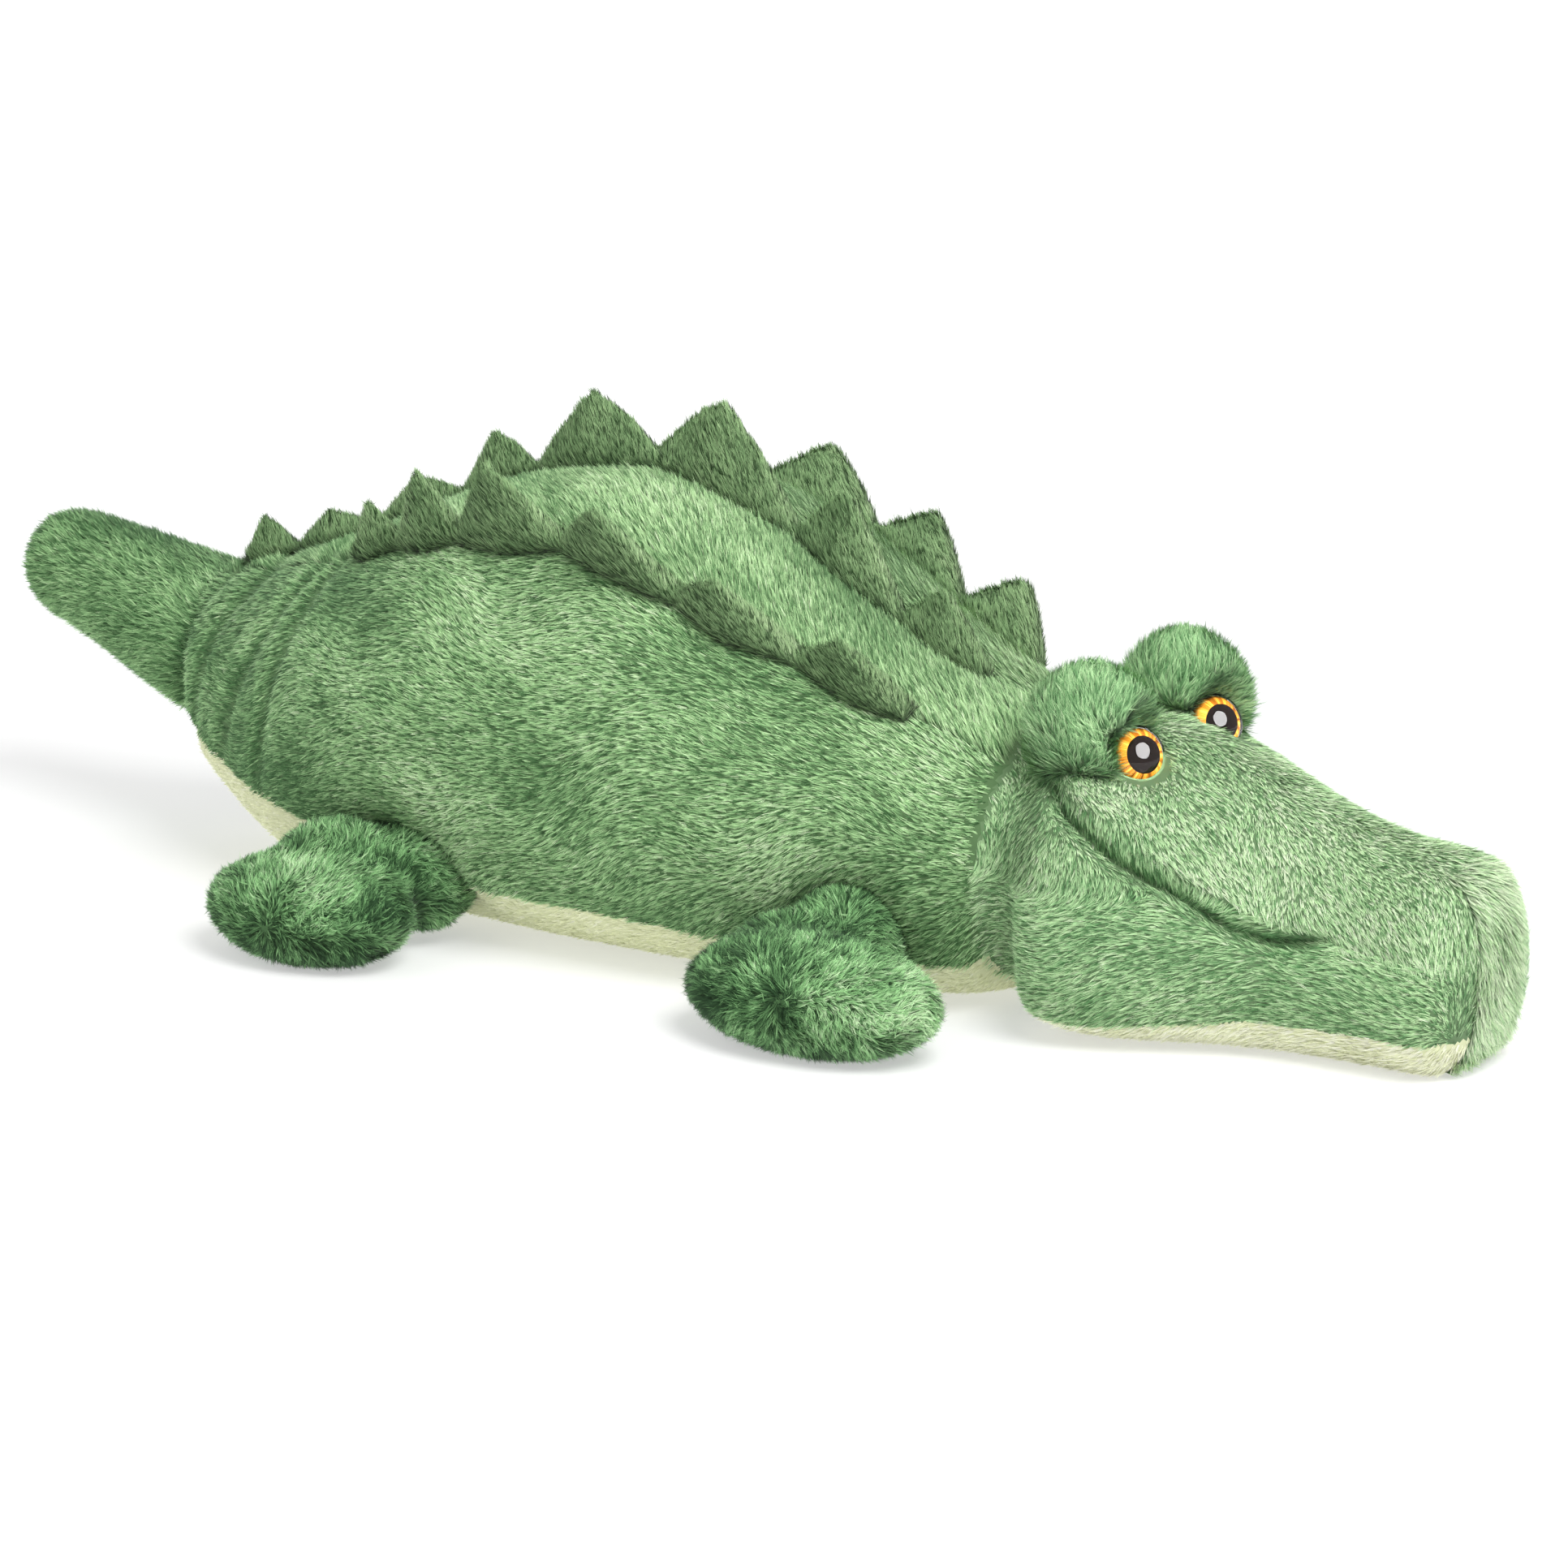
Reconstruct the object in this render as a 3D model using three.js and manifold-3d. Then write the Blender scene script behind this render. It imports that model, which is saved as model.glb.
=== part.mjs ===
// Plush crocodile lying on its belly: a stuffed trunk with a sewn-on tail, head and four legs,
// three rows of stuffed back spikes and plastic safety eyes. Millimetres, snout along +X, +Z up,
// standing on z = 0 with the origin under the middle of the animal.
import * as THREE from 'three';
import { mergeVertices } from 'three/addons/utils/BufferGeometryUtils.js';
import Module from 'manifold-3d';

const wasm = await Module();
wasm.setup();

// Driving sizes
const TAIL_LENGTH = 99;         // tip to the tail's joint
const TRUNK_LENGTH = 438;       // tail joint to neck joint
const HEAD_LENGTH = 165;        // neck joint to the end of the snout
const TRUNK_WIDTH = 206;
const TRUNK_HEIGHT = 186;       // floor to the back, below the spikes
const HEAD_WIDTH = 156;         // across the cheeks
const HEAD_HEIGHT = 114;        // floor to the forehead, below the brows
const SNOUT_ROUNDING = 16;      // depth of the rounded end of the snout
const TAIL_TIP_ROUNDING = 15;
const TAIL_WIDTH = 68;
const TAIL_DEPTH = 68;          // height of the tail's section at its joint
const TAIL_ROOT_HEIGHT = 87;    // floor to the middle of the tail at its joint
const TAIL_RISE = 24;           // climb of the tail's middle line from joint to tip
const NECK_RADIUS = 62;         // round back of the head, seen from above
const NECK_DEPTH = 104;         // height of the round back of the head
const NECK_HEIGHT = 58;         // floor to the middle of the neck joint
const CLOTH = 3;                // plush cloth with its pile pressed flat
const GAP = 0.3;                // clearance between pieces that touch
const JOINT_GAP = 0.6;          // clearance round the parts that turn
const SOLE_SINK = 0.5;          // depth of the flat that the floor presses into soft forms

// Where each joint lies along the animal
const LENGTH = TAIL_LENGTH + TRUNK_LENGTH + HEAD_LENGTH;
const TAIL_X = -LENGTH / 2 + TAIL_LENGTH;
const NECK_X = TAIL_X + TRUNK_LENGTH;
const SOCKET_DEPTH = 0.45;      // share of a joint's radius that the trunk's rim leaves uncovered

// How far the legs swing on their sewn roots, degrees; the trunk leaves them that much room
const LEG_BACK = { front: 20, hind: 8 };
const LEG_FORWARD = { front: 8, hind: 20 };

// Legs: joint place (share of the trunk's length, then mm from the middle line), and where the
// thigh and the oval paw lie from the joint, mm ahead and mm outwards
const LEG_JOINT_HEIGHT = 29;
const LEG_JOINT_RADIUS = 23;
const LEGS = {
  front: { place: 0.83, y: 72, thigh: [-9, 20], paw: [14, 44] },
  hind: { place: 0.387, y: 82, thigh: [-22, 24], paw: [-22, 44] },
};
// Length, width and height of each paw and thigh
const PAWS = { front: [108, 60, 42], hind: [93, 60, 41] };
const THIGHS = { front: [56, 50, 44], hind: [64, 54, 51] };

// Spikes of the middle row and of each outer row, from front to rear: where they meet and where
// their tips stand, as shares of the trunk's length from the tail joint, and how tall they are
const RIDGE = {
  junctions: [0.875, 0.785, 0.675, 0.53, 0.385, 0.3, 0.195, 0.1, 0.038],
  tips: [0.832, 0.729, 0.597, 0.452, 0.338, 0.246, 0.14, 0.06],
  heights: [20, 30, 32, 26, 19, 12, 11, 14],
};
const OUTER = {
  junctions: [0.863, 0.766, 0.656, 0.524, 0.394, 0.31, 0.245],
  tips: [0.823, 0.709, 0.59, 0.459, 0.355, 0.27],
  heights: [24, 22, 24, 31, 27, 17],
};
const SPIKE_THICKNESS = 18;
const SPIKE_WAIST = 0.55;       // share of that thickness where two spikes meet
const SPIKE_CROWN = [0.3, 0.88, 0.2];   // share of height that stays thick, then widths there and on top
const STRIP_HEIGHT = 3;         // strip that joins the spikes of a row
// Shares of the trunk between which the outer rows grow upright, and how they lean there, degrees
const ROW_LEAN = [0.6, 0.25, 38, 10];

// Brows and safety eyes, placed ahead of the neck joint
const BROW = { ahead: 11, y: 35, z: 113, length: 52, width: 40, height: 52 };
const EYE = { ahead: 24, y: 30, z: 105.5, splay: 4, gaze: -22, tilt: 20 };   // degrees; gaze to the left
const EYE_RADIUS = 11;
const LENS_EDGE = 0.6;          // straight edge of a lens
const SOCKET_FLARE = [3, 14, 9];        // where the hollow round an eye widens, its depth, how far
const LENS_HEIGHT = 7.5;
const IRIS_THICKNESS = 0.5;
const PUPIL_RADIUS = 6.4;
const EYE_PLATE = 2;
const SHANK_RADIUS = 3;
const SHANK_LENGTH = 14;
const WASHER_RADIUS = 8;
const WASHER_THICKNESS = 1.5;
const WASHER_DEPTH = 6;         // eye plate to washer, the cloth between them pressed
const SHANK_CHAMFER = [1, 1.5];
const RIM = 0.2;                // iris inside the edge of its lens

// Bag of pellets that weighs the belly down
const PELLET_BAG = { length: 200, width: 110, height: 36, place: 0.55 };

// Half sections of the trunk, from its tail joint (0) to its neck joint (1): half width, height of
// the widest place, top and underside as shares of the trunk's size, then the top's squareness
const TRUNK_SECTIONS = [
  [0.037, 0.44, 0.44, 0.66, 0.2, 2.0],
  [0.106, 0.56, 0.43, 0.697, 0.08, 2.0],
  [0.197, 0.75, 0.42, 0.769, 0.01, 2.0],
  [0.3, 0.89, 0.441, 0.871, 0, 2.0],
  [0.407, 0.97, 0.452, 0.962, 0, 2.0],
  [0.524, 1.0, 0.457, 1.0, 0, 2.1],
  [0.656, 0.98, 0.435, 0.903, 0, 2.5],
  [0.763, 0.885, 0.392, 0.758, 0, 2.5],
  [0.857, 0.74, 0.344, 0.651, 0.003, 2.6],
  [0.95, 0.63, 0.312, 0.592, 0.022, 2.4],
];
// Head sections from the neck joint (0) to the snout's rounding (1), as shares of the head's size
const HEAD_SECTIONS = [
  [-0.05, 0.80, 0.46, 0.94, 0.042, 2.1],
  [0.02, 0.97, 0.44, 0.995, 0, 2.1],
  [0.1, 1.0, 0.42, 1.0, 0, 2.2],
  [0.22, 0.93, 0.38, 0.955, 0, 2.3],
  [0.43, 0.71, 0.34, 0.88, 0, 2.4],
  [0.61, 0.575, 0.31, 0.785, 0, 2.4],
  [0.79, 0.54, 0.3, 0.715, 0, 2.4],
  [1.0, 0.545, 0.3, 0.7, 0, 2.4],
];
// Tail sections from its joint (0) to the tip's rounding (1): half size and climb, as shares
const TAIL_SECTIONS = [
  [0, 1.0, 0],
  [0.3, 0.91, 0.3],
  [0.6, 0.81, 0.62],
  [1.0, 0.68, 1.0],
];
const BELLY_SQUARENESS = 2.8;
const CHIN_SQUARENESS = 4.2;
const SNOUT_STRIP = 34;         // width of the strip down the end of the snout
const BELLY_SEAM = -0.62;       // angle of the belly seam below the widest place, radians
// Spacing of the outer spike rows along the trunk, as shares of its width
const ROW_SPACING = [[0, 0.1], [0.106, 0.19], [0.197, 0.32], [0.3, 0.456], [0.407, 0.563],
  [0.524, 0.631], [0.656, 0.68], [0.763, 0.563], [0.857, 0.466], [0.95, 0.408]];
// Seams of the head: the mouth's crease and the edge of the pale chin, share of length to height
const MOUTH_LINE = [[-0.1, 0.86], [0.09, 0.84], [0.38, 0.6], [0.7, 0.44], [1, 0.4]];
const CHIN_LINE = [[-0.1, 0.1], [0.2, 0.1], [0.5, 0.14], [1, 0.15]];

const COLOURS = {
  side: '#5f9468', back: '#86bb84', belly: '#d5dcae', spike: '#3f6b46', leg: '#58955f',
  filling: '#f2f2ec', pellets: '#e8e4d8', head: '#7db57e', foil: '#c98a1c', black: '#14110f',
};

// Smooth curve through the rows of a table, read at one place along its first column
function along(table, place, column) {
  const last = table.length - 1;
  const at = (i) => table[Math.min(Math.max(i, 0), last)];
  let i = 0;
  while (i < last - 1 && place > table[i + 1][0]) i += 1;
  const slope = (k) => {
    if (k <= 0 || k >= last) return 0;
    const before = (at(k)[column] - at(k - 1)[column]) / (at(k)[0] - at(k - 1)[0]);
    const after = (at(k + 1)[column] - at(k)[column]) / (at(k + 1)[0] - at(k)[0]);
    return before * after > 0 ? (2 * before * after) / (before + after) : 0;
  };
  const step = at(i + 1)[0] - at(i)[0];
  const t = THREE.MathUtils.clamp((place - at(i)[0]) / step, 0, 1);
  const [a, b] = [at(i)[column], at(i + 1)[column]];
  return (2 * t ** 3 - 3 * t ** 2 + 1) * a + (t ** 3 - 2 * t ** 2 + t) * step * slope(i)
    + (3 * t ** 2 - 2 * t ** 3) * b + (t ** 3 - t ** 2) * step * slope(i + 1);
}

// Point of a ring at an angle: 0 is the widest place on the left, a quarter turn the top
function ringPoint(ring, angle) {
  const c = Math.cos(angle);
  const s = Math.sin(angle);
  const power = 2 / (s >= 0 ? ring.squareness : ring.belly);
  const rise = s >= 0 ? ring.top - ring.widest : ring.widest - ring.under;
  const y = Math.sign(c) * ring.half * Math.abs(c) ** power;
  const z = ring.widest + Math.sign(s) * rise * Math.abs(s) ** power;
  return [ring.x, y, Math.max(z, ring.floor)];
}

// Angle at which a ring passes a given half width above its widest place, or a given height
const angleAtWidth = (ring, y) => Math.acos(Math.min(y / ring.half, 1) ** (ring.squareness / 2));
function angleAtHeight(ring, z) {
  if (z >= ring.widest) {
    const share = Math.min((z - ring.widest) / (ring.top - ring.widest), 0.98);
    return Math.asin(share ** (ring.squareness / 2));
  }
  const share = Math.min((ring.widest - z) / (ring.widest - ring.under), 0.98);
  return -Math.asin(share ** (ring.belly / 2));
}

// Ring of a section, drawn in by the thickness that lies outside it
function ring(x, half, widest, top, under, squareness, belly, inset) {
  return {
    x, widest, squareness, belly,
    half: half - inset,
    top: top - inset,
    under: under - SOLE_SINK + inset,
    floor: inset,
  };
}

// Ring scaled towards its middle, for the rounded ends of a form
function shrunk(base, x, share) {
  const middle = (base.top + base.under) / 2;
  const scale = (z) => middle + (z - middle) * share;
  return { ...base, x, half: base.half * share, widest: scale(base.widest), top: scale(base.top),
    under: scale(base.under) };
}

function blendRings(a, b, t) {
  const mixed = {};
  for (const key of Object.keys(a)) mixed[key] = a[key] + (b[key] - a[key]) * t;
  return mixed;
}

// Rings of the three big forms, drawn in by an inset
const TRUNK_RINGS = 14;
const END_TURNS = [0.5, 1.0, 1.45];      // rings round a blunt end, radians
const spread = (count) => [...Array(count).keys()].map((i) => i / (count - 1));

function trunkRings(inset) {
  const rear = TAIL_X + (TAIL_WIDTH / 2) * SOCKET_DEPTH;
  const front = NECK_X - NECK_RADIUS * SOCKET_DEPTH;
  return spread(TRUNK_RINGS).map((t) => {
    const x = rear + (front - rear) * t;
    const place = (x - TAIL_X) / TRUNK_LENGTH;
    const read = (column) => along(TRUNK_SECTIONS, place, column);
    return ring(x, read(1) * TRUNK_WIDTH / 2, read(2) * TRUNK_HEIGHT, read(3) * TRUNK_HEIGHT,
      read(4) * TRUNK_HEIGHT, read(5), BELLY_SQUARENESS, inset);
  });
}

function headRings(inset) {
  const length = HEAD_LENGTH - SNOUT_ROUNDING;
  const section = (place) => {
    const read = (column) => along(HEAD_SECTIONS, place, column);
    return ring(NECK_X + place * length, read(1) * HEAD_WIDTH / 2, read(2) * HEAD_HEIGHT,
      read(3) * HEAD_HEIGHT, read(4) * HEAD_HEIGHT, read(5), CHIN_SQUARENESS, inset);
  };
  const places = [-0.05, 0.02, 0.09, 0.17, 0.27, 0.38, 0.5, 0.64, 0.82, 1];
  const rings = places.map(section);
  const end = rings[rings.length - 1];
  for (const angle of END_TURNS) {
    rings.push(shrunk(end, end.x + (SNOUT_ROUNDING - inset) * Math.sin(angle), Math.cos(angle)));
  }
  return rings;
}

function tailRings(inset) {
  const length = TAIL_LENGTH - TAIL_TIP_ROUNDING;
  const section = (x, size, middle) => ({
    x, squareness: 2, belly: 2, floor: 0,
    half: (TAIL_WIDTH / 2) * size - inset,
    widest: middle,
    top: middle + (TAIL_DEPTH / 2) * size - inset,
    under: middle - (TAIL_DEPTH / 2) * size + inset,
  });
  const root = section(TAIL_X, 1, TAIL_ROOT_HEIGHT);
  const rings = [];
  for (const angle of [0.9, 0.6, 0.3]) {
    const reach = (TAIL_WIDTH / 2 - inset) * Math.sin(angle);
    rings.push(shrunk(root, TAIL_X + reach, Math.cos(angle)));
  }
  for (const place of [0, 0.25, 0.5, 0.75, 1]) {
    const middle = TAIL_ROOT_HEIGHT + TAIL_RISE * along(TAIL_SECTIONS, place, 2);
    rings.push(section(TAIL_X - place * length, along(TAIL_SECTIONS, place, 1), middle));
  }
  const end = rings[rings.length - 1];
  for (const angle of END_TURNS) {
    rings.push(shrunk(end, end.x - (TAIL_TIP_ROUNDING - inset) * Math.sin(angle), Math.cos(angle)));
  }
  return rings;
}

// Ring at a place between whole ring numbers
function ringAt(rings, place) {
  const i = Math.min(Math.floor(place), rings.length - 2);
  return blendRings(rings[i], rings[i + 1], place - i);
}

// Closed geometry from points and triangles, turned so that its faces point outwards
function closed(points, triangles) {
  const [a, b, c] = [new THREE.Vector3(), new THREE.Vector3(), new THREE.Vector3()];
  let volume = 0;
  for (const [i, j, k] of triangles) {
    volume += a.fromArray(points[i]).dot(b.fromArray(points[j]).cross(c.fromArray(points[k])));
  }
  const facing = volume > 0 ? triangles : triangles.map(([i, j, k]) => [i, k, j]);
  const geometry = new THREE.BufferGeometry();
  geometry.setAttribute('position', new THREE.Float32BufferAttribute(points.flat(), 3));
  geometry.setIndex(facing.flat());
  return geometry;
}

// Solid between stacked loops of equal count, closed by a fan at each end. Past the middle of a
// loop its squares are split the other way, so that both halves of a form mirror each other
function stack(loops) {
  const count = loops[0].length;
  const points = loops.flat();
  const triangles = [];
  for (let i = 0; i + 1 < loops.length; i += 1) {
    for (let j = 0; j < count; j += 1) {
      const [a, b] = [i * count + j, i * count + ((j + 1) % count)];
      if (j < count / 2) triangles.push([a, b, b + count], [a, b + count, a + count]);
      else triangles.push([a, b, a + count], [b, b + count, a + count]);
    }
  }
  for (const [loop, first] of [[loops[0], 0], [loops.at(-1), (loops.length - 1) * count]]) {
    const centre = loop.reduce((sum, p) => sum.map((v, k) => v + p[k] / count), [0, 0, 0]);
    points.push(centre);
    for (let j = 0; j < count; j += 1) {
      const [a, b] = [first + j, first + ((j + 1) % count)];
      triangles.push(first === 0 ? [b, a, points.length - 1] : [a, b, points.length - 1]);
    }
  }
  return closed(points, triangles);
}

// Curved sheet of cloth between an outer and an inner grid of points, closed along its edges. Its
// squares are split the other way in its first columns, where it crosses the middle line
function sheet(outer, inner, mirrored = 0) {
  const [rows, columns] = [outer.length, outer[0].length];
  const points = [...outer.flat(), ...inner.flat()];
  const triangles = [];
  const quad = (a, b, c, d, flip) => {
    if (flip) triangles.push([a, b, d], [b, c, d]);
    else triangles.push([a, b, c], [a, c, d]);
  };
  const out = (i, j) => i * columns + j;
  const back = (i, j) => rows * columns + i * columns + j;
  for (let i = 0; i + 1 < rows; i += 1) {
    for (let j = 0; j + 1 < columns; j += 1) {
      const flip = j < mirrored;
      quad(out(i, j), out(i, j + 1), out(i + 1, j + 1), out(i + 1, j), flip);
      quad(back(i, j), back(i + 1, j), back(i + 1, j + 1), back(i, j + 1), flip);
    }
    quad(out(i, 0), out(i + 1, 0), back(i + 1, 0), back(i, 0));
    quad(out(i + 1, columns - 1), out(i, columns - 1), back(i, columns - 1),
      back(i + 1, columns - 1));
  }
  for (let j = 0; j + 1 < columns; j += 1) {
    quad(out(0, j + 1), out(0, j), back(0, j), back(0, j + 1));
    quad(out(rows - 1, j), out(rows - 1, j + 1), back(rows - 1, j + 1), back(rows - 1, j));
  }
  return closed(points, triangles);
}

// Angle at the edge of the flat that the floor presses into a ring's underside
const soleAngle = (r) => -Math.asin((1 - SOLE_SINK / (r.widest - r.under)) ** (r.belly / 2));

// Seam angles of each form at one of its rings, from under the middle line round the left side
const placeOnTrunk = (x) => (x - TAIL_X) / TRUNK_LENGTH;
const placeOnHead = (x) => (x - NECK_X) / HEAD_LENGTH;
const trunkSeams = (r) => [-Math.PI / 2, soleAngle(r), BELLY_SEAM,
  angleAtWidth(r, along(ROW_SPACING, placeOnTrunk(r.x), 1) * TRUNK_WIDTH / 2), Math.PI / 2];
const headSeams = (r) => [-Math.PI / 2, soleAngle(r),
  angleAtHeight(r, along(CHIN_LINE, placeOnHead(r.x), 1) * HEAD_HEIGHT),
  angleAtHeight(r, along(MOUTH_LINE, placeOnHead(r.x), 1) * HEAD_HEIGHT), Math.PI / 2];
const tailSeams = () => [-Math.PI / 2, Math.PI / 2];
const TRUNK_STEPS = [1, 2, 4, 2];
const HEAD_STEPS = [1, 1, 3, 3];
const TAIL_STEPS = [7];

// Angles of a ring's points on its left half, evenly spaced between its seams
function halfAngles(seams, steps) {
  const angles = [seams[0]];
  steps.forEach((count, k) => {
    for (let i = 1; i <= count; i += 1) {
      angles.push(seams[k] + (seams[k + 1] - seams[k]) * i / count);
    }
  });
  return angles;
}

// Whole stuffed form, all round; the guides are the rings whose seams it follows
function filling(rings, seamsOf, steps, guides) {
  return stack(rings.map((r, place) => {
    const left = halfAngles(seamsOf(guides[place]), steps);
    const right = left.slice(1, -1).reverse().map((a) => Math.PI - a);
    return [...left, ...right].map((a) => ringPoint(r, a));
  }));
}

// Cloth panel of a form between two seams, over its whole length. Side 1 is the left, -1 the right,
// and 0 runs under the belly from the upper seam on the right to that on the left
function panel(form, [from, to], side) {
  const steps = form.steps.slice(from, to);
  const grid = (rings) => rings.map((r, place) => {
    const guide = form.outer[place];
    const seams = form.seamsOf(guide).slice(from, to + 1);
    const slack = GAP / 2 / Math.max(guide.half, CLOTH * 4);
    seams[to - from] -= slack;
    if (side !== 0) seams[0] += slack;
    const angles = halfAngles(seams, steps);
    const mirrored = angles.map((angle) => (side === 0 ? -Math.PI : Math.PI) - angle);
    const row = side === 0 ? [...mirrored.reverse(), ...angles.slice(1)] : angles;
    return (side < 0 ? mirrored : row).map((angle) => ringPoint(r, angle));
  });
  const half = steps.reduce((sum, count) => sum + count);
  return sheet(grid(form.outer), grid(form.inner), side === 0 ? half : 0);
}

// Facets of the balls, around and down
const FORM_FACETS = [16, 8];
const BROW_FACETS = [16, 10];
const SOCKET_FACETS = [28, 10];

// Solids for cutting and joining
function solid(geometry) {
  const bare = geometry.clone();
  bare.deleteAttribute('normal');
  bare.deleteAttribute('uv');
  const merged = mergeVertices(bare, 1e-4);
  return new wasm.Manifold(new wasm.Mesh({
    numProp: 3,
    vertProperties: new Float32Array(merged.attributes.position.array),
    triVerts: new Uint32Array(merged.index.array),
  }));
}

function geometryOf(body) {
  const mesh = body.getMesh();
  const geometry = new THREE.BufferGeometry();
  geometry.setAttribute('position', new THREE.BufferAttribute(mesh.vertProperties, 3));
  geometry.setIndex(new THREE.BufferAttribute(mesh.triVerts, 1));
  return geometry;
}

// Ball squashed to its own height, round when seen from above; facets are its steps around and down
function ellipsoid(x, y, z, rx, ry, rz, facets = FORM_FACETS) {
  const geometry = new THREE.SphereGeometry(1, ...facets).rotateX(Math.PI / 2);
  return solid(geometry.scale(rx, ry, rz).translate(x, y, z));
}

const slab = (x0, x1, y0, y1, z0, z1) => solid(new THREE.BoxGeometry(x1 - x0, y1 - y0, z1 - z0)
  .translate((x0 + x1) / 2, (y0 + y1) / 2, (z0 + z1) / 2));
const REACH = LENGTH;           // larger than the animal, for cutting slabs
const belowFloor = slab(-REACH, REACH, -REACH, REACH, -REACH, 0);

// A body turned about an upright line, for the space that it sweeps
function turned(body, x, y, degrees) {
  return body.translate([-x, -y, 0]).rotate([0, 0, degrees]).translate([x, y, 0]);
}
function swept(body, x, y, from, to) {
  const stops = spread(3).map((t) => turned(body, x, y, from + (to - from) * t));
  return stops.reduce((sum, stop) => sum.add(stop));
}

const trunkForm = {
  outer: trunkRings(0), inner: trunkRings(CLOTH), seamsOf: trunkSeams, steps: TRUNK_STEPS,
};
const headGuides = headRings(0);
const tailForm = {
  outer: tailRings(0), inner: tailRings(CLOTH), seamsOf: tailSeams, steps: TAIL_STEPS,
};

const fillingInset = CLOTH + GAP;
const trunkOutside = (extra) => solid(filling(trunkRings(-extra), trunkSeams, TRUNK_STEPS,
  trunkForm.outer));

const crocodile = new THREE.Group();
function piece(name, body, slot, roughness = 0.95, metalness = 0) {
  const geometry = body instanceof THREE.BufferGeometry ? body : geometryOf(body);
  const look = new THREE.MeshStandardMaterial({ color: COLOURS[slot], roughness, metalness });
  const mesh = new THREE.Mesh(geometry, look);
  mesh.name = name;
  crocodile.add(mesh);
}
const sides = [['left', 1], ['right', -1]];

// Sockets in the trunk for the round roots of the tail, head and legs
const legPlaces = Object.entries(LEGS).flatMap(([end, leg]) => sides.map(([side, sign]) => (
  { end, side, sign, leg, x: TAIL_X + leg.place * TRUNK_LENGTH, y: sign * leg.y })));
const tailSocket = ellipsoid(TAIL_X, 0, TAIL_ROOT_HEIGHT, TAIL_WIDTH / 2 + JOINT_GAP,
  TAIL_WIDTH / 2 + JOINT_GAP, TAIL_DEPTH / 2 + JOINT_GAP, SOCKET_FACETS);
const neckSocket = ellipsoid(NECK_X, 0, NECK_HEIGHT, NECK_RADIUS + JOINT_GAP,
  NECK_RADIUS + JOINT_GAP, NECK_DEPTH / 2 + JOINT_GAP, SOCKET_FACETS);
const legBall = (place, extra) => ellipsoid(place.x, place.y, LEG_JOINT_HEIGHT,
  LEG_JOINT_RADIUS + extra, LEG_JOINT_RADIUS + extra, LEG_JOINT_RADIUS + extra);
const sockets = legPlaces.map((place) => legBall(place, JOINT_GAP))
  .reduce((sum, ball) => sum.add(ball), tailSocket.add(neckSocket));

// Trunk: filling, pellet bag and its cloth panels
function buildTrunk() {
  const middle = TAIL_X + PELLET_BAG.place * TRUNK_LENGTH;
  const bag = (extra) => ellipsoid(middle, 0, PELLET_BAG.height / 2,
    PELLET_BAG.length / 2 + extra, PELLET_BAG.width / 2 + extra, PELLET_BAG.height / 2 + extra);
  const core = solid(filling(trunkRings(fillingInset), trunkSeams, TRUNK_STEPS, trunkForm.outer));
  piece('trunk_filling', core.subtract(sockets).subtract(bag(GAP)), 'filling');
  piece('pellet_bag', bag(0).intersect(core), 'pellets');
  for (const [side, sign] of sides) {
    const flank = solid(panel(trunkForm, [2, 3], sign));
    piece(`side_panel_${side}`, flank.subtract(sockets), 'side');
    const back = solid(panel(trunkForm, [3, 4], sign));
    piece(`back_panel_${side}`, back.subtract(sockets), 'back');
  }
  const belly = solid(panel(trunkForm, [0, 2], 0));
  piece('belly_panel', belly.subtract(sockets), 'belly');
}

// Row of stuffed spikes, as one strip that stands on a line along the trunk
function spikeRow(row, lineAt, leanAt) {
  const [junctions, tips] = [row.junctions, row.tips]
    .map((shares) => shares.map((share) => TAIL_X + share * TRUNK_LENGTH));
  const [shoulder, broad, narrow] = SPIKE_CROWN;
  const loops = [];
  const section = (x, height, thickness) => {
    const [, y, z] = lineAt(x);
    const lean = leanAt(x);
    const at = (side, rise) => [x, y + Math.cos(lean) * side * thickness / 2 + Math.sin(lean) * rise,
      z - Math.sin(lean) * side * thickness / 2 + Math.cos(lean) * rise];
    const rise = height + STRIP_HEIGHT;
    return [at(-1, -SPIKE_THICKNESS), at(1, -SPIKE_THICKNESS), at(broad, rise * shoulder),
      at(narrow, rise), at(-narrow, rise), at(-broad, rise * shoulder)];
  };
  const climbing = (climb) => (climb + Math.sin(climb * Math.PI / 2)) / 2;
  row.heights.forEach((height, k) => {
    const stops = [[junctions[k], 0], [(junctions[k] + tips[k]) / 2, 0.5], [tips[k], 1],
      [(3 * tips[k] + junctions[k + 1]) / 4, 0.75], [(tips[k] + 3 * junctions[k + 1]) / 4, 0.25]];
    for (const [x, climb] of stops) {
      const share = climbing(climb);
      loops.push(section(x, height * share, SPIKE_THICKNESS * (SPIKE_WAIST + (1 - SPIKE_WAIST) * share)));
    }
  });
  loops.push(section(junctions.at(-1), 0, SPIKE_THICKNESS * SPIKE_WAIST));
  return solid(stack(loops)).subtract(trunkOutside(GAP));
}

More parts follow.
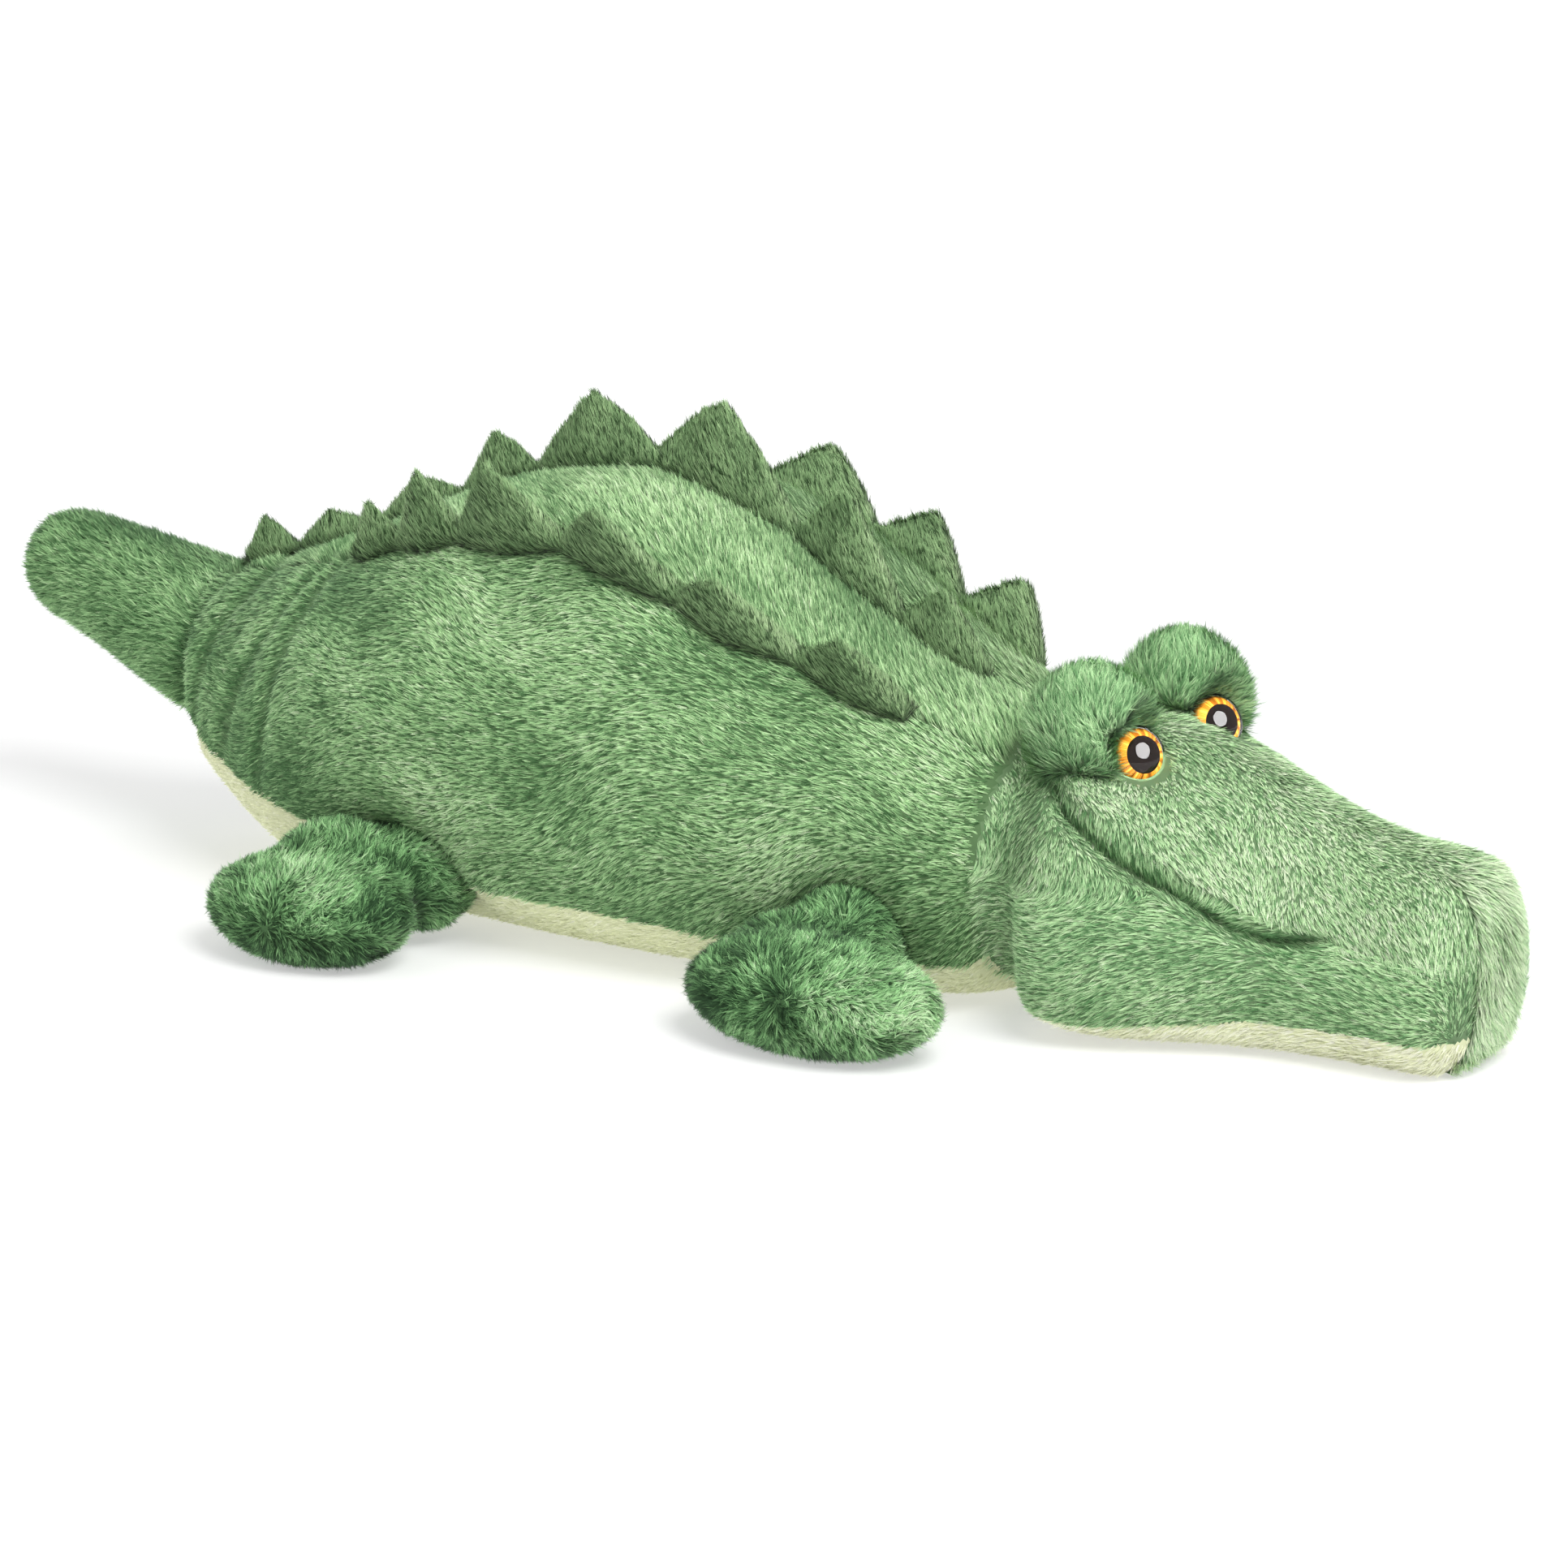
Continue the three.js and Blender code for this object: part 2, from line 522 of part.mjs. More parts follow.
function buildSpikes() {
  const sectionAt = (x) => {
    const { outer } = trunkForm;
    return ringAt(outer, (x - outer[0].x) / (outer.at(-1).x - outer[0].x) * (outer.length - 1));
  };
  const ridge = (x) => ringPoint(sectionAt(x), Math.PI / 2);
  piece('spike_row_middle', spikeRow(RIDGE, ridge, () => 0), 'spike');
  const [start, end, leaning, upright] = ROW_LEAN;
  for (const [side, sign] of sides) {
    const seam = (x) => {
      const r = sectionAt(x);
      const [, y, z] = ringPoint(r, trunkSeams(r)[3]);
      return [x, sign * y, z];
    };
    const lean = (x) => {
      const share = THREE.MathUtils.clamp((placeOnTrunk(x) - start) / (end - start), 0, 1);
      return sign * THREE.MathUtils.degToRad(leaning + (upright - leaning) * share);
    };
    piece(`spike_row_${side}`, spikeRow(OUTER, seam, lean), 'spike');
  }
}

// Tail: filling and two halves of its cover, seamed along the top and the underside
function buildTail() {
  const rings = tailRings(fillingInset);
  piece('tail_filling', filling(rings, tailSeams, TAIL_STEPS, tailForm.outer), 'filling');
  for (const [side, sign] of sides) {
    const cover = panel(tailForm, [0, 1], sign);
    piece(`tail_cover_${side}`, cover, 'side');
  }
}

// Round back of the head, joined to a form that starts near the neck joint
function neckBall(inset) {
  const ball = ellipsoid(NECK_X, 0, NECK_HEIGHT, NECK_RADIUS - inset, NECK_RADIUS - inset,
    NECK_DEPTH / 2 - inset, SOCKET_FACETS);
  const rear = slab(NECK_X - NECK_RADIUS * 0.8, NECK_X + NECK_RADIUS * 0.3, -REACH, REACH, inset, REACH);
  return ball.intersect(rear);
}

// Eye in its own frame: +Z looks out and z = 0 is the front of the plate on the cloth
function lathe(profile, segments = 16) {
  const points = profile.map(([r, z]) => new THREE.Vector2(r, z));
  return new THREE.LatheGeometry([...points, points[0]], segments).rotateX(Math.PI / 2);
}

function eyeFrame(sign) {
  const tilt = THREE.MathUtils.degToRad(EYE.tilt);
  const aside = THREE.MathUtils.degToRad(sign * EYE.splay + EYE.gaze);
  const out = new THREE.Vector3(Math.cos(tilt) * Math.cos(aside),
    Math.cos(tilt) * Math.sin(aside), Math.sin(tilt));
  const turn = new THREE.Quaternion().setFromUnitVectors(new THREE.Vector3(0, 0, 1), out);
  return new THREE.Matrix4().compose(new THREE.Vector3(NECK_X + EYE.ahead, sign * EYE.y, EYE.z), turn,
    new THREE.Vector3(1, 1, 1));
}

function eyeParts() {
  const front = EYE_PLATE + GAP;
  const lensBack = front + IRIS_THICKNESS + GAP;
  const lens = [[0, lensBack]];
  for (const t of spread(6)) {
    const angle = t * Math.PI / 2;
    lens.push([EYE_RADIUS * Math.cos(angle), lensBack + LENS_EDGE + LENS_HEIGHT * Math.sin(angle)]);
  }
  lens.splice(1, 0, [EYE_RADIUS, lensBack]);
  lens.at(-1)[0] = 0;
  const washer = -WASHER_DEPTH;
  return {
    lens: lathe(lens),
    iris: lathe([[PUPIL_RADIUS + GAP, front], [EYE_RADIUS - RIM, front],
      [EYE_RADIUS - RIM, front + IRIS_THICKNESS], [PUPIL_RADIUS + GAP, front + IRIS_THICKNESS]]),
    pupil: lathe([[0, front], [PUPIL_RADIUS, front], [PUPIL_RADIUS, front + IRIS_THICKNESS],
      [0, front + IRIS_THICKNESS]]),
    plate: lathe([[0, -SHANK_LENGTH], [SHANK_RADIUS - SHANK_CHAMFER[0], -SHANK_LENGTH],
      [SHANK_RADIUS, -SHANK_LENGTH + SHANK_CHAMFER[1]], [SHANK_RADIUS, 0], [EYE_RADIUS, 0],
      [EYE_RADIUS, EYE_PLATE], [0, EYE_PLATE]]),
    washer: lathe([[SHANK_RADIUS + GAP, washer - WASHER_THICKNESS],
      [WASHER_RADIUS, washer - WASHER_THICKNESS], [WASHER_RADIUS, washer],
      [SHANK_RADIUS + GAP, washer]]),
  };
}

// Space that an eye takes out of the brow, cloth and filling behind it, and the hollow in front
function eyePocket() {
  const [start, depth, flare] = SOCKET_FLARE;
  return lathe([[0, -SHANK_LENGTH - GAP], [SHANK_RADIUS + GAP, -SHANK_LENGTH - GAP],
    [SHANK_RADIUS + GAP, -WASHER_DEPTH - WASHER_THICKNESS - GAP],
    [WASHER_RADIUS + GAP, -WASHER_DEPTH - WASHER_THICKNESS - GAP],
    [WASHER_RADIUS + GAP, -WASHER_DEPTH + GAP], [SHANK_RADIUS + GAP, -WASHER_DEPTH + GAP],
    [SHANK_RADIUS + GAP, -GAP], [EYE_RADIUS + GAP, -GAP], [EYE_RADIUS + GAP, start],
    [EYE_RADIUS + flare, start + depth], [0, start + depth]]);
}

function buildHead() {
  const form = (inset) => solid(filling(headRings(inset), headSeams, HEAD_STEPS, headGuides))
    .add(neckBall(inset));
  const pockets = sides.map(([, sign]) => solid(eyePocket().applyMatrix4(eyeFrame(sign))))
    .reduce((sum, pocket) => sum.add(pocket));
  piece('head_filling', form(fillingInset).subtract(pockets), 'filling');

  const whole = form(0);
  const neckHole = slab(-REACH, NECK_X - NECK_RADIUS * 0.72, -REACH, REACH, -REACH, REACH);
  const cover = whole.subtract(form(CLOTH)).subtract(neckHole).subtract(pockets);
  const seamX = NECK_X + HEAD_LENGTH - SNOUT_ROUNDING;
  const strip = (extra) => slab(seamX - extra, REACH, -SNOUT_STRIP / 2 - extra,
    SNOUT_STRIP / 2 + extra, -REACH, REACH);
  const panels = cover.subtract(strip(GAP / 2));
  const line = (table, shift) => {
    const places = spread(9).map((t) => -0.1 + 1.2 * t);
    return places.map((t) => [NECK_X + (t < -0.05 ? -0.5 : t) * HEAD_LENGTH,
      along(table, t, 1) * HEAD_HEIGHT + shift]);
  };
  const between = (lower, upper, y0, y1) => {
    const outline = new THREE.Shape([...lower, ...upper.reverse()].map(([x, z]) => (
      new THREE.Vector2(x, z))));
    const block = new THREE.ExtrudeGeometry(outline, { depth: y1 - y0, bevelEnabled: false });
    return solid(block.rotateX(Math.PI / 2).translate(0, y1, 0));
  };
  const level = (z) => line(CHIN_LINE, 0).map(([x]) => [x, z]);
  const mouth = (shift) => line(MOUTH_LINE, shift);
  const chin = (shift) => line(CHIN_LINE, shift);
  piece('head_top_panel', panels.intersect(between(mouth(GAP / 2), level(2 * HEAD_HEIGHT),
    -HEAD_WIDTH, HEAD_WIDTH)), 'head');
  for (const [side, sign] of sides) {
    const [y0, y1] = sign > 0 ? [0, HEAD_WIDTH] : [-HEAD_WIDTH, 0];
    const cheek = between(chin(GAP / 2), mouth(-GAP / 2), y0, y1);
    piece(`cheek_panel_${side}`, panels.intersect(cheek), 'head');
  }
  piece('chin_panel', panels.intersect(between(level(-HEAD_HEIGHT), chin(-GAP / 2),
    -HEAD_WIDTH, HEAD_WIDTH)), 'belly');
  piece('snout_front_panel', cover.intersect(strip(-GAP / 2)), 'head');

  const headOutside = form(-GAP);
  for (const [side, sign] of sides) {
    const brow = ellipsoid(NECK_X + BROW.ahead, sign * BROW.y, BROW.z, BROW.length / 2,
      BROW.width / 2, BROW.height / 2, BROW_FACETS);
    piece(`brow_${side}`, brow.subtract(headOutside).subtract(pockets), 'head');
    const parts = eyeParts();
    const frame = eyeFrame(sign);
    for (const geometry of Object.values(parts)) geometry.applyMatrix4(frame);
    piece(`eye_lens_${side}`, solid(parts.lens), 'foil', 0.05);
    piece(`eye_iris_${side}`, solid(parts.iris), 'foil', 0.3, 0.6);
    piece(`eye_pupil_${side}`, solid(parts.pupil), 'black', 0.3);
    piece(`eye_plate_${side}`, solid(parts.plate), 'black', 0.4);
    piece(`eye_washer_${side}`, solid(parts.washer), 'filling', 0.5);
  }
}

// Legs: a short stuffed thigh on a round root, and an oval paw that lies flat on the floor
function buildLegs() {
  for (const place of legPlaces) {
    const { end, side, sign, leg, x, y } = place;
    const stuffed = ([ahead, out], [length, width, height], extra = 0) => ellipsoid(
      x + ahead, y + sign * out, height / 2,
      length / 2 + extra, width / 2 + extra, height / 2 + SOLE_SINK + extra);
    const paw = (extra) => stuffed(leg.paw, PAWS[end], extra);
    const thigh = stuffed(leg.thigh, THIGHS[end]);
    const [from, to] = [LEG_BACK[end], LEG_FORWARD[end]];
    const range = sign < 0 ? [-to, from] : [-from, to];
    const clear = swept(trunkOutside(JOINT_GAP), x, y, range[0], range[1]);
    const foot = paw(0).subtract(clear).subtract(belowFloor);
    const upper = thigh.subtract(clear).add(legBall(place, 0)).subtract(paw(GAP))
      .subtract(belowFloor);
    piece(`${end}_leg_${side}`, upper, 'leg');
    piece(`${end}_paw_${side}`, foot, 'leg');
  }
}

buildTrunk();
buildSpikes();
buildTail();
buildHead();
buildLegs();

export default crocodile;
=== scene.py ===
"""Looks of a stuffed plush crocodile: cloth over each stuffed form, its combed pile, its soft back
spikes and its plastic eyes. Metres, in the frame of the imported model: snout along +X, +Z up."""
import math

import bpy
import numpy as np
from mathutils import Matrix, Vector
from mathutils.bvhtree import BVHTree


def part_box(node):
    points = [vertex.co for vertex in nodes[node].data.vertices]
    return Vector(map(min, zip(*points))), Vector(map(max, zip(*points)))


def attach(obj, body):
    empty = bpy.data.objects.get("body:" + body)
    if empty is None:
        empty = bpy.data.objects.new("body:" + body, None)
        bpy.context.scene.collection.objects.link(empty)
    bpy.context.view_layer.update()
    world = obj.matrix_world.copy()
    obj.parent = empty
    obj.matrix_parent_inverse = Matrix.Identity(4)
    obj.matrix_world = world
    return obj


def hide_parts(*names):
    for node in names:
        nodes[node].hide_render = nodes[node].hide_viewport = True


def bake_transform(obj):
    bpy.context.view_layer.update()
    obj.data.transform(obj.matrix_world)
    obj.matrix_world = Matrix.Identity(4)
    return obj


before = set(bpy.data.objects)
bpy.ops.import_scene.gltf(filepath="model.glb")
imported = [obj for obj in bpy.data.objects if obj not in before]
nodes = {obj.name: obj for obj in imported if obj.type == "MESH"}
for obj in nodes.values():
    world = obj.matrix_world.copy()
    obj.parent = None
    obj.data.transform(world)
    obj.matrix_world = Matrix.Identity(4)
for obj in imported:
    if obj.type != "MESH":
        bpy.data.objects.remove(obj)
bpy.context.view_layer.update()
SIDES = {"left": 1, "right": -1}
MM = 0.001


# Camera at the photograph's angle, floor and light
CAMERA_PLACE = (1.0859, -1.5862, 0.5560)
CAMERA_TARGET = (0.0171, 0.0285, 0.0552)
FOCAL_LENGTH, SENSOR_WIDTH = 113.6, 36.0


def look_at(thing, target):
    thing.rotation_euler = (Vector(target) - thing.location).to_track_quat("-Z", "Y").to_euler()


def make_camera():
    camera = bpy.data.objects.new("camera", bpy.data.cameras.new("camera"))
    bpy.context.scene.collection.objects.link(camera)
    camera.data.lens = FOCAL_LENGTH
    camera.data.sensor_width = SENSOR_WIDTH
    camera.data.clip_end = 20
    camera.location = CAMERA_PLACE
    look_at(camera, CAMERA_TARGET)
    bpy.context.scene.camera = camera
    bpy.context.scene.view_settings.view_transform = "Standard"


def softbox(name, place, target, size, power):
    lamp = bpy.data.objects.new(name, bpy.data.lights.new(name, "AREA"))
    bpy.context.scene.collection.objects.link(lamp)
    lamp.data.shape = "DISK"
    lamp.data.size = size
    lamp.data.energy = power
    lamp.location = place
    look_at(lamp, target)
    return lamp


# Materials are built from nodes
class Value:
    """A socket that a Math node multiplies by a number, or takes away from one."""

    def __init__(self, look, socket):
        self.look, self.socket = look, socket

    def __mul__(self, other):
        return self.look.node("ShaderNodeMath", {"operation": "MULTIPLY"}, {0: self, 1: other})

    def __rsub__(self, other):
        return self.look.node("ShaderNodeMath", {"operation": "SUBTRACT"}, {0: other, 1: self})


def link_mix(tree, share, first, second, surface):
    """Mixes two shader sockets by a share of the second, for an output's surface."""
    mix = tree.nodes.new("ShaderNodeMixShader")
    for socket, source in zip(mix.inputs, (share, first, second)):
        tree.links.new(source, socket)
    tree.links.new(mix.outputs[0], surface)


class Look:
    """A material of one Principled shader, built from nodes."""

    def __init__(self, name, **fixed):
        self.material = bpy.data.materials.new(name)
        self.material.use_nodes = True
        self.tree = self.material.node_tree
        self.shader = self.tree.nodes["Principled BSDF"]
        self.output = self.tree.nodes["Material Output"]
        for socket, value in fixed.items():
            self.shader.inputs[socket.replace("_", " ")].default_value = value

    def node(self, kind, settings=None, inputs=None, output=0):
        made = self.tree.nodes.new(kind)
        for key, value in (settings or {}).items():
            if key == "stops":
                self.set_stops(made.color_ramp, value)
            else:
                setattr(made, key, value)
        for key, value in (inputs or {}).items():
            self.feed(made.inputs[key], value)
        return Value(self, made.outputs[output])

    def feed(self, socket, value):
        if isinstance(value, Value):
            self.tree.links.new(value.socket, socket)
        else:
            socket.default_value = value

    @staticmethod
    def set_stops(ramp, stops):
        while len(ramp.elements) > 1:
            ramp.elements.remove(ramp.elements[-1])
        for i, (place, colour) in enumerate(stops):
            element = ramp.elements[0] if i == 0 else ramp.elements.new(place)
            element.position = place
            element.color = (*colour, 1)

    def attribute(self, name):
        return self.node("ShaderNodeAttribute", {"attribute_name": name}, output="Fac")

    def coordinates(self):
        return self.node("ShaderNodeTexCoord", output="Object")

    def length_of(self, vector):
        return self.node("ShaderNodeVectorMath", {"operation": "LENGTH"}, {0: vector}, "Value")

    def noise(self, scale, detail, roughness, where=None, **more):
        inputs = {"Scale": scale, "Detail": detail, "Roughness": roughness, **more}
        inputs["Vector"] = where or self.coordinates()
        return self.node("ShaderNodeTexNoise", None, inputs, "Fac")

    def ramp(self, value, *stops):
        return self.node("ShaderNodeValToRGB", {"stops": stops}, {0: value}, "Color")

    def multiplied(self, a, b):
        settings = {"data_type": "RGBA", "blend_type": "MULTIPLY"}
        return self.node("ShaderNodeMix", settings, {0: 1.0, 6: a, 7: b}, 2)

    def bump(self, height, distance, strength):
        inputs = {"Height": height, "Distance": distance, "Strength": strength}
        return self.node("ShaderNodeBump", None, inputs)

    def paint(self, **links):
        for socket, value in links.items():
            self.feed(self.shader.inputs[socket.replace("_", " ")], value)
        return self.material


# The floor's glow, its share near the toy, and the distances in metres between which that share grows
# to the whole. The sky's light on the toy, which the camera sees as plain white
FLOOR_GLOW = 1.25
NEAR_GLOW_SHARE = 0.36
NEAR_FLOOR, FAR_FLOOR = 0.45, 0.95
SKY_LIGHT = 0.6


def make_stage():
    """Plain pale floor that glows as a light table does, less so near the toy, and a white world."""
    bpy.ops.mesh.primitive_plane_add(size=12)
    floor = bpy.context.object
    floor.name = "floor"
    look = Look("floor_paper", Base_Color=(0.9, 0.9, 0.9, 1), Roughness=1.0, Specular_IOR_Level=0)
    glow = look.tree.nodes.new("ShaderNodeEmission")
    glow.inputs["Strength"].default_value = FLOOR_GLOW
    away = look.length_of(look.coordinates())
    share = look.ramp(away, (NEAR_FLOOR, (NEAR_GLOW_SHARE,) * 3), (FAR_FLOOR, (1.0,) * 3))
    link_mix(look.tree, share.socket, look.shader.outputs[0], glow.outputs[0],
             look.output.inputs["Surface"])
    floor.data.materials.append(look.material)

    world = bpy.data.worlds.new("studio")
    bpy.context.scene.world = world
    world.use_nodes = True
    tree = world.node_tree
    background = tree.nodes["Background"]
    path = tree.nodes.new("ShaderNodeLightPath")
    white = tree.nodes.new("ShaderNodeBackground")
    white.inputs["Color"].default_value = (1, 1, 1, 1)
    white.inputs["Strength"].default_value = 1.0
    background.inputs["Color"].default_value = (1, 1, 1, 1)
    background.inputs["Strength"].default_value = SKY_LIGHT
    link_mix(tree, path.outputs["Is Camera Ray"], background.outputs[0], white.outputs[0],
             tree.nodes["World Output"].inputs["Surface"])


# Each light's place, what it looks at, its width and its power. The last only adds reflections
LIGHTS = {
    "key_light": ((1.2, -0.72, 1.62), (0.14, 0, 0.08), 1.1, 37),
    "fill_light": ((-0.7, -1.6, 1.4), (0, 0, 0.08), 1.2, 5),
    "rear_light": ((0.2, 1.6, 1.8), (0, 0, 0.08), 1.2, 6),
    "catch_light": ((1.484, -0.232, 0.85), (0.21, 0, 0.1), 1.15, 60),
}


def make_lights():
    for name, settings in LIGHTS.items():
        lamp = softbox(name, *settings)
        if name == "catch_light":
            lamp.visible_diffuse = False
        else:
            lamp.visible_glossy = False


# Cloth over the stuffed forms
def select_only(*things):
    bpy.ops.object.select_all(action="DESELECT")
    for thing in things:
        thing.select_set(True)
    bpy.context.view_layer.objects.active = things[0]


def apply_all(thing):
    select_only(thing)
    for modifier in list(thing.modifiers):
        bpy.ops.object.modifier_apply(modifier=modifier.name)


def joined_copy(name, members):
    """One new object that holds copies of the named CAD nodes."""
    copies = []
    for member in members:
        copy = bpy.data.objects.new(member + "_copy", nodes[member].data.copy())
        bpy.context.scene.collection.objects.link(copy)
        copies.append(copy)
    select_only(*copies)
    if len(copies) > 1:
        bpy.ops.object.join()
    whole = bpy.context.object
    whole.name = name
    whole.data.materials.clear()
    return whole


def cloth_over(name, members, grain, rounds):
    """Smooth watertight cloth over some CAD nodes: a voxel mesh of them, relaxed."""
    whole = joined_copy(name, members)
    mesher = whole.modifiers.new("mesher", "REMESH")
    mesher.mode = "VOXEL"
    mesher.voxel_size = grain
    relax = whole.modifiers.new("relax", "SMOOTH")
    relax.factor = 0.5
    relax.iterations = rounds
    apply_all(whole)
    return whole


def arrays_of(mesh):
    """Corner numbers of a mesh's triangles, its points and its point normals."""
    mesh.calc_loop_triangles()
    triangles = np.zeros(len(mesh.loop_triangles) * 3, np.int32)
    mesh.loop_triangles.foreach_get("vertices", triangles)
    points = np.zeros((len(mesh.vertices), 3), np.float32)
    mesh.vertices.foreach_get("co", points.ravel())
    normals = np.zeros((len(mesh.vertices), 3), np.float32)
    mesh.vertex_normals.foreach_get("vector", normals.ravel())
    return triangles.reshape(-1, 3), points.astype(float), normals.astype(float)


def put_points(mesh, points):
    mesh.vertices.foreach_set("co", points.astype(np.float32).ravel())
    mesh.update()


def unit(vectors):
    length = np.linalg.norm(vectors, axis=-1, keepdims=True)
    return vectors / np.maximum(length, 1e-9)


def smooth_step(low, high, value):
    t = np.clip((value - low) / (high - low), 0, 1)
    return t * t * (3 - 2 * t)


OCTAVES, WAVES_IN_OCTAVE = 2, 6
OCTAVE_PITCH, OCTAVE_STRENGTH = 1.7, 0.6
HIGHEST_WAVE = 1.5


def waves(points, size, seed):
    """Soft seeded noise at points, mostly from -1 to 1, for features of about a given size."""
    rng = np.random.default_rng(seed)
    total = np.zeros(len(points))
    weight = 0.0
    for octave in range(OCTAVES):
        for _ in range(WAVES_IN_OCTAVE):
            direction = unit(rng.normal(size=3))
            pitch = 2 * math.pi / size * (OCTAVE_PITCH ** octave) * rng.uniform(0.7, 1.3)
            shift = rng.uniform(0, 7)
            total += OCTAVE_STRENGTH ** octave * np.sin(points @ direction * pitch + shift)
            weight += OCTAVE_STRENGTH ** octave * 0.5
    return np.clip(total / weight * 1.2, -HIGHEST_WAVE, HIGHEST_WAVE)


# Shape of the body's cloth: one skin over trunk, tail and head
PAIRED = ["side_panel", "back_panel", "tail_cover", "cheek_panel"]
COVERS = [f"{panel}_{side}" for panel in PAIRED for side in SIDES]
COVERS += ["belly_panel", "chin_panel", "head_top_panel", "snout_front_panel"]
BACK_PANELS = [COVERS.index(f"back_panel_{side}") for side in SIDES]
FILLINGS = ["trunk_filling", "tail_filling", "head_filling"]
# Voxels and rounds of smoothing, of the body's cloth and what is inside, and of the other pieces
CLOTH_GRAIN, CLOTH_ROUNDS = 5 * MM, 8
GRAIN, STUFFING_ROUNDS, BAG_ROUNDS = 3 * MM, 4, 3
LEG_MESH, BROW_MESH, SPIKE_MESH = (3 * MM, 20), (3 * MM, 4), (1.5 * MM, 3)
# Height of the belly's seam along the body, and where the trunk's panels part into front and rear
BELLY_SEAM_X = (-240, -226, -211, -193, -167, -146, -110, -80, -79)
BELLY_SEAM_Z = (60, 60, 53, 48, 45, 41, 33, 28, 0)
TRUNK_MIDDLE = -0.02


def nearest_cover(points):
    """Number of the panel nearest to each point."""
    best = np.full(len(points), np.inf)
    which = np.zeros(len(points), int)
    for number, cover in enumerate(COVERS):
        triangles, corners, _ = arrays_of(nodes[cover].data)
        tree = BVHTree.FromPolygons(corners.tolist(), triangles.tolist())
        distance = np.array([tree.find_nearest(Vector(p))[3] for p in points])
        closer = distance < best
        best[closer] = distance[closer]
        which[closer] = number
    return which


def press_in(mesh, amount):
    """Moves the points of a mesh inwards along their normals, by an amount in mm each."""
    _, points, normals = arrays_of(mesh)
    put_points(mesh, points - normals * amount[:, None] * MM)


# Creases that show in the pile, in mm. The mouth's height along the head, where it starts, is full,
# fades and ends, and the depth, height and width of its crease and of the lip that stands out above
MOUTH_X = (186, 194, 209, 220, 244, 266, 279, 300)
MOUTH_Z = (99, 93, 86, 79, 66, 53, 50, 52)
MOUTH_ENDS = (184, 193, 288, 303)
MOUTH_DEPTH, MOUTH_LOW, MOUTH_WIDTH = 8, -1, 3.2
LIP_RISE, LIP_HIGH, LIP_WIDTH = 3.5, 8, 6
# Folds across the rear of the back: where each lies at its low and at its high end, and those heights
REAR_FOLDS = [(-170, -154), (-202, -169), (-232, -202), (-253, -229)]
FOLD_HEIGHTS = (60, 130)
FOLD_DEPTH, FOLD_WIDTH = 2.4, 4.5
FOLD_WAVER = 2
# Folds at the neck and the crease in the jaw: path on the right side, depth and width. The left side
# has them too
JAW_CREASE = [(275, -46, 40), (273, -48, 18)]
SIDE_CREASES = [
    ([(150, -60, 130), (146, -76, 90), (150, -74, 40)], 2.5, 7),
    ([(172, -52, 124), (170, -72, 84), (176, -66, 30)], 3.5, 8),
    (JAW_CREASE, 2.5, 7),
]
# The snout's bridge: its rise, place, half length and half width, and the height that it lies above
BRIDGE_RISE, BRIDGE_X, BRIDGE_LENGTH, BRIDGE_WIDTH, BRIDGE_ABOVE = 2.5, 226, 15, 17, 60


def nearest_on(points, path):
    """Distance of each point from a path of straight lines."""
    best = np.full(len(points), np.inf)
    path = np.array(path, float)
    for a, b in zip(path[:-1], path[1:]):
        t = np.clip((points - a) @ (b - a) / ((b - a) @ (b - a)), 0, 1)
        best = np.minimum(best, np.linalg.norm(points - a - t[:, None] * (b - a), axis=1))
    return best


def in_mouth(p, above, width):
    """How near each point is to a line that runs that far above the mouth's, from 0 to 1."""
    across = p[:, 2] - np.interp(p[:, 0], MOUTH_X, MOUTH_Z)
    start, full, fading, end = MOUTH_ENDS
    there = smooth_step(start, full, p[:, 0]) * smooth_step(end, fading, p[:, 0])
    return there * np.exp(-((across - above) / width) ** 2)


def in_folds(p, width):
    """How deep each point lies in the folds across the rear, from 0 to 1."""
    low, high = FOLD_HEIGHTS
    climb = np.clip((p[:, 2] - low) / (high - low), -0.3, 1.3)
    there = smooth_step(low - 18, low + 4, p[:, 2])
    waver = FOLD_WAVER * waves(p, 60, 31)
    near = [np.exp(-((p[:, 0] - foot - (head - foot) * climb - waver) / width) ** 2)
            for foot, head in REAR_FOLDS]
    return there * np.max(near, axis=0)


def crease_body(mesh, drawn_in=0.0):
    """Presses the creases into a mesh, and draws it in by that many mm all over."""
    _, points, _ = arrays_of(mesh)
    p = points / MM
    depth = np.full(len(p), drawn_in)
    for side in (p, p * (1, -1, 1)):
        for path, deep, width in SIDE_CREASES:
            depth += deep * np.exp(-(nearest_on(side, path) / width) ** 2)
    mouth = MOUTH_DEPTH * in_mouth(p, MOUTH_LOW, MOUTH_WIDTH)
    lip = LIP_RISE * in_mouth(p, LIP_HIGH, LIP_WIDTH)
    depth += mouth - lip + FOLD_DEPTH * in_folds(p, FOLD_WIDTH)
    bridge = np.exp(-((p[:, 0] - BRIDGE_X) / BRIDGE_LENGTH) ** 2 - (p[:, 1] / BRIDGE_WIDTH) ** 2)
    depth -= BRIDGE_RISE * bridge * (p[:, 2] > BRIDGE_ABOVE)
    press_in(mesh, depth)


# Where the stuffing is narrower, so that it stays under the cloth as tail and head turn: place along
# the toy and height of the middle in mm, the share that it is narrower by, and reach in mm
JOINT_ROOM = [(-250, 87, 0.42, 42), (178, 66, 0.14, 34)]


def leave_room_at_joints(mesh):
    """Draws the stuffing together at rump and neck."""
    _, points, _ = arrays_of(mesh)
    for place, middle, narrower, reach in JOINT_ROOM:
        share = narrower * np.exp(-((points[:, 0] / MM - place) / reach) ** 2)
        points[:, 1] *= 1 - share
        points[:, 2] += (middle * MM - points[:, 2]) * share
    put_points(mesh, points)


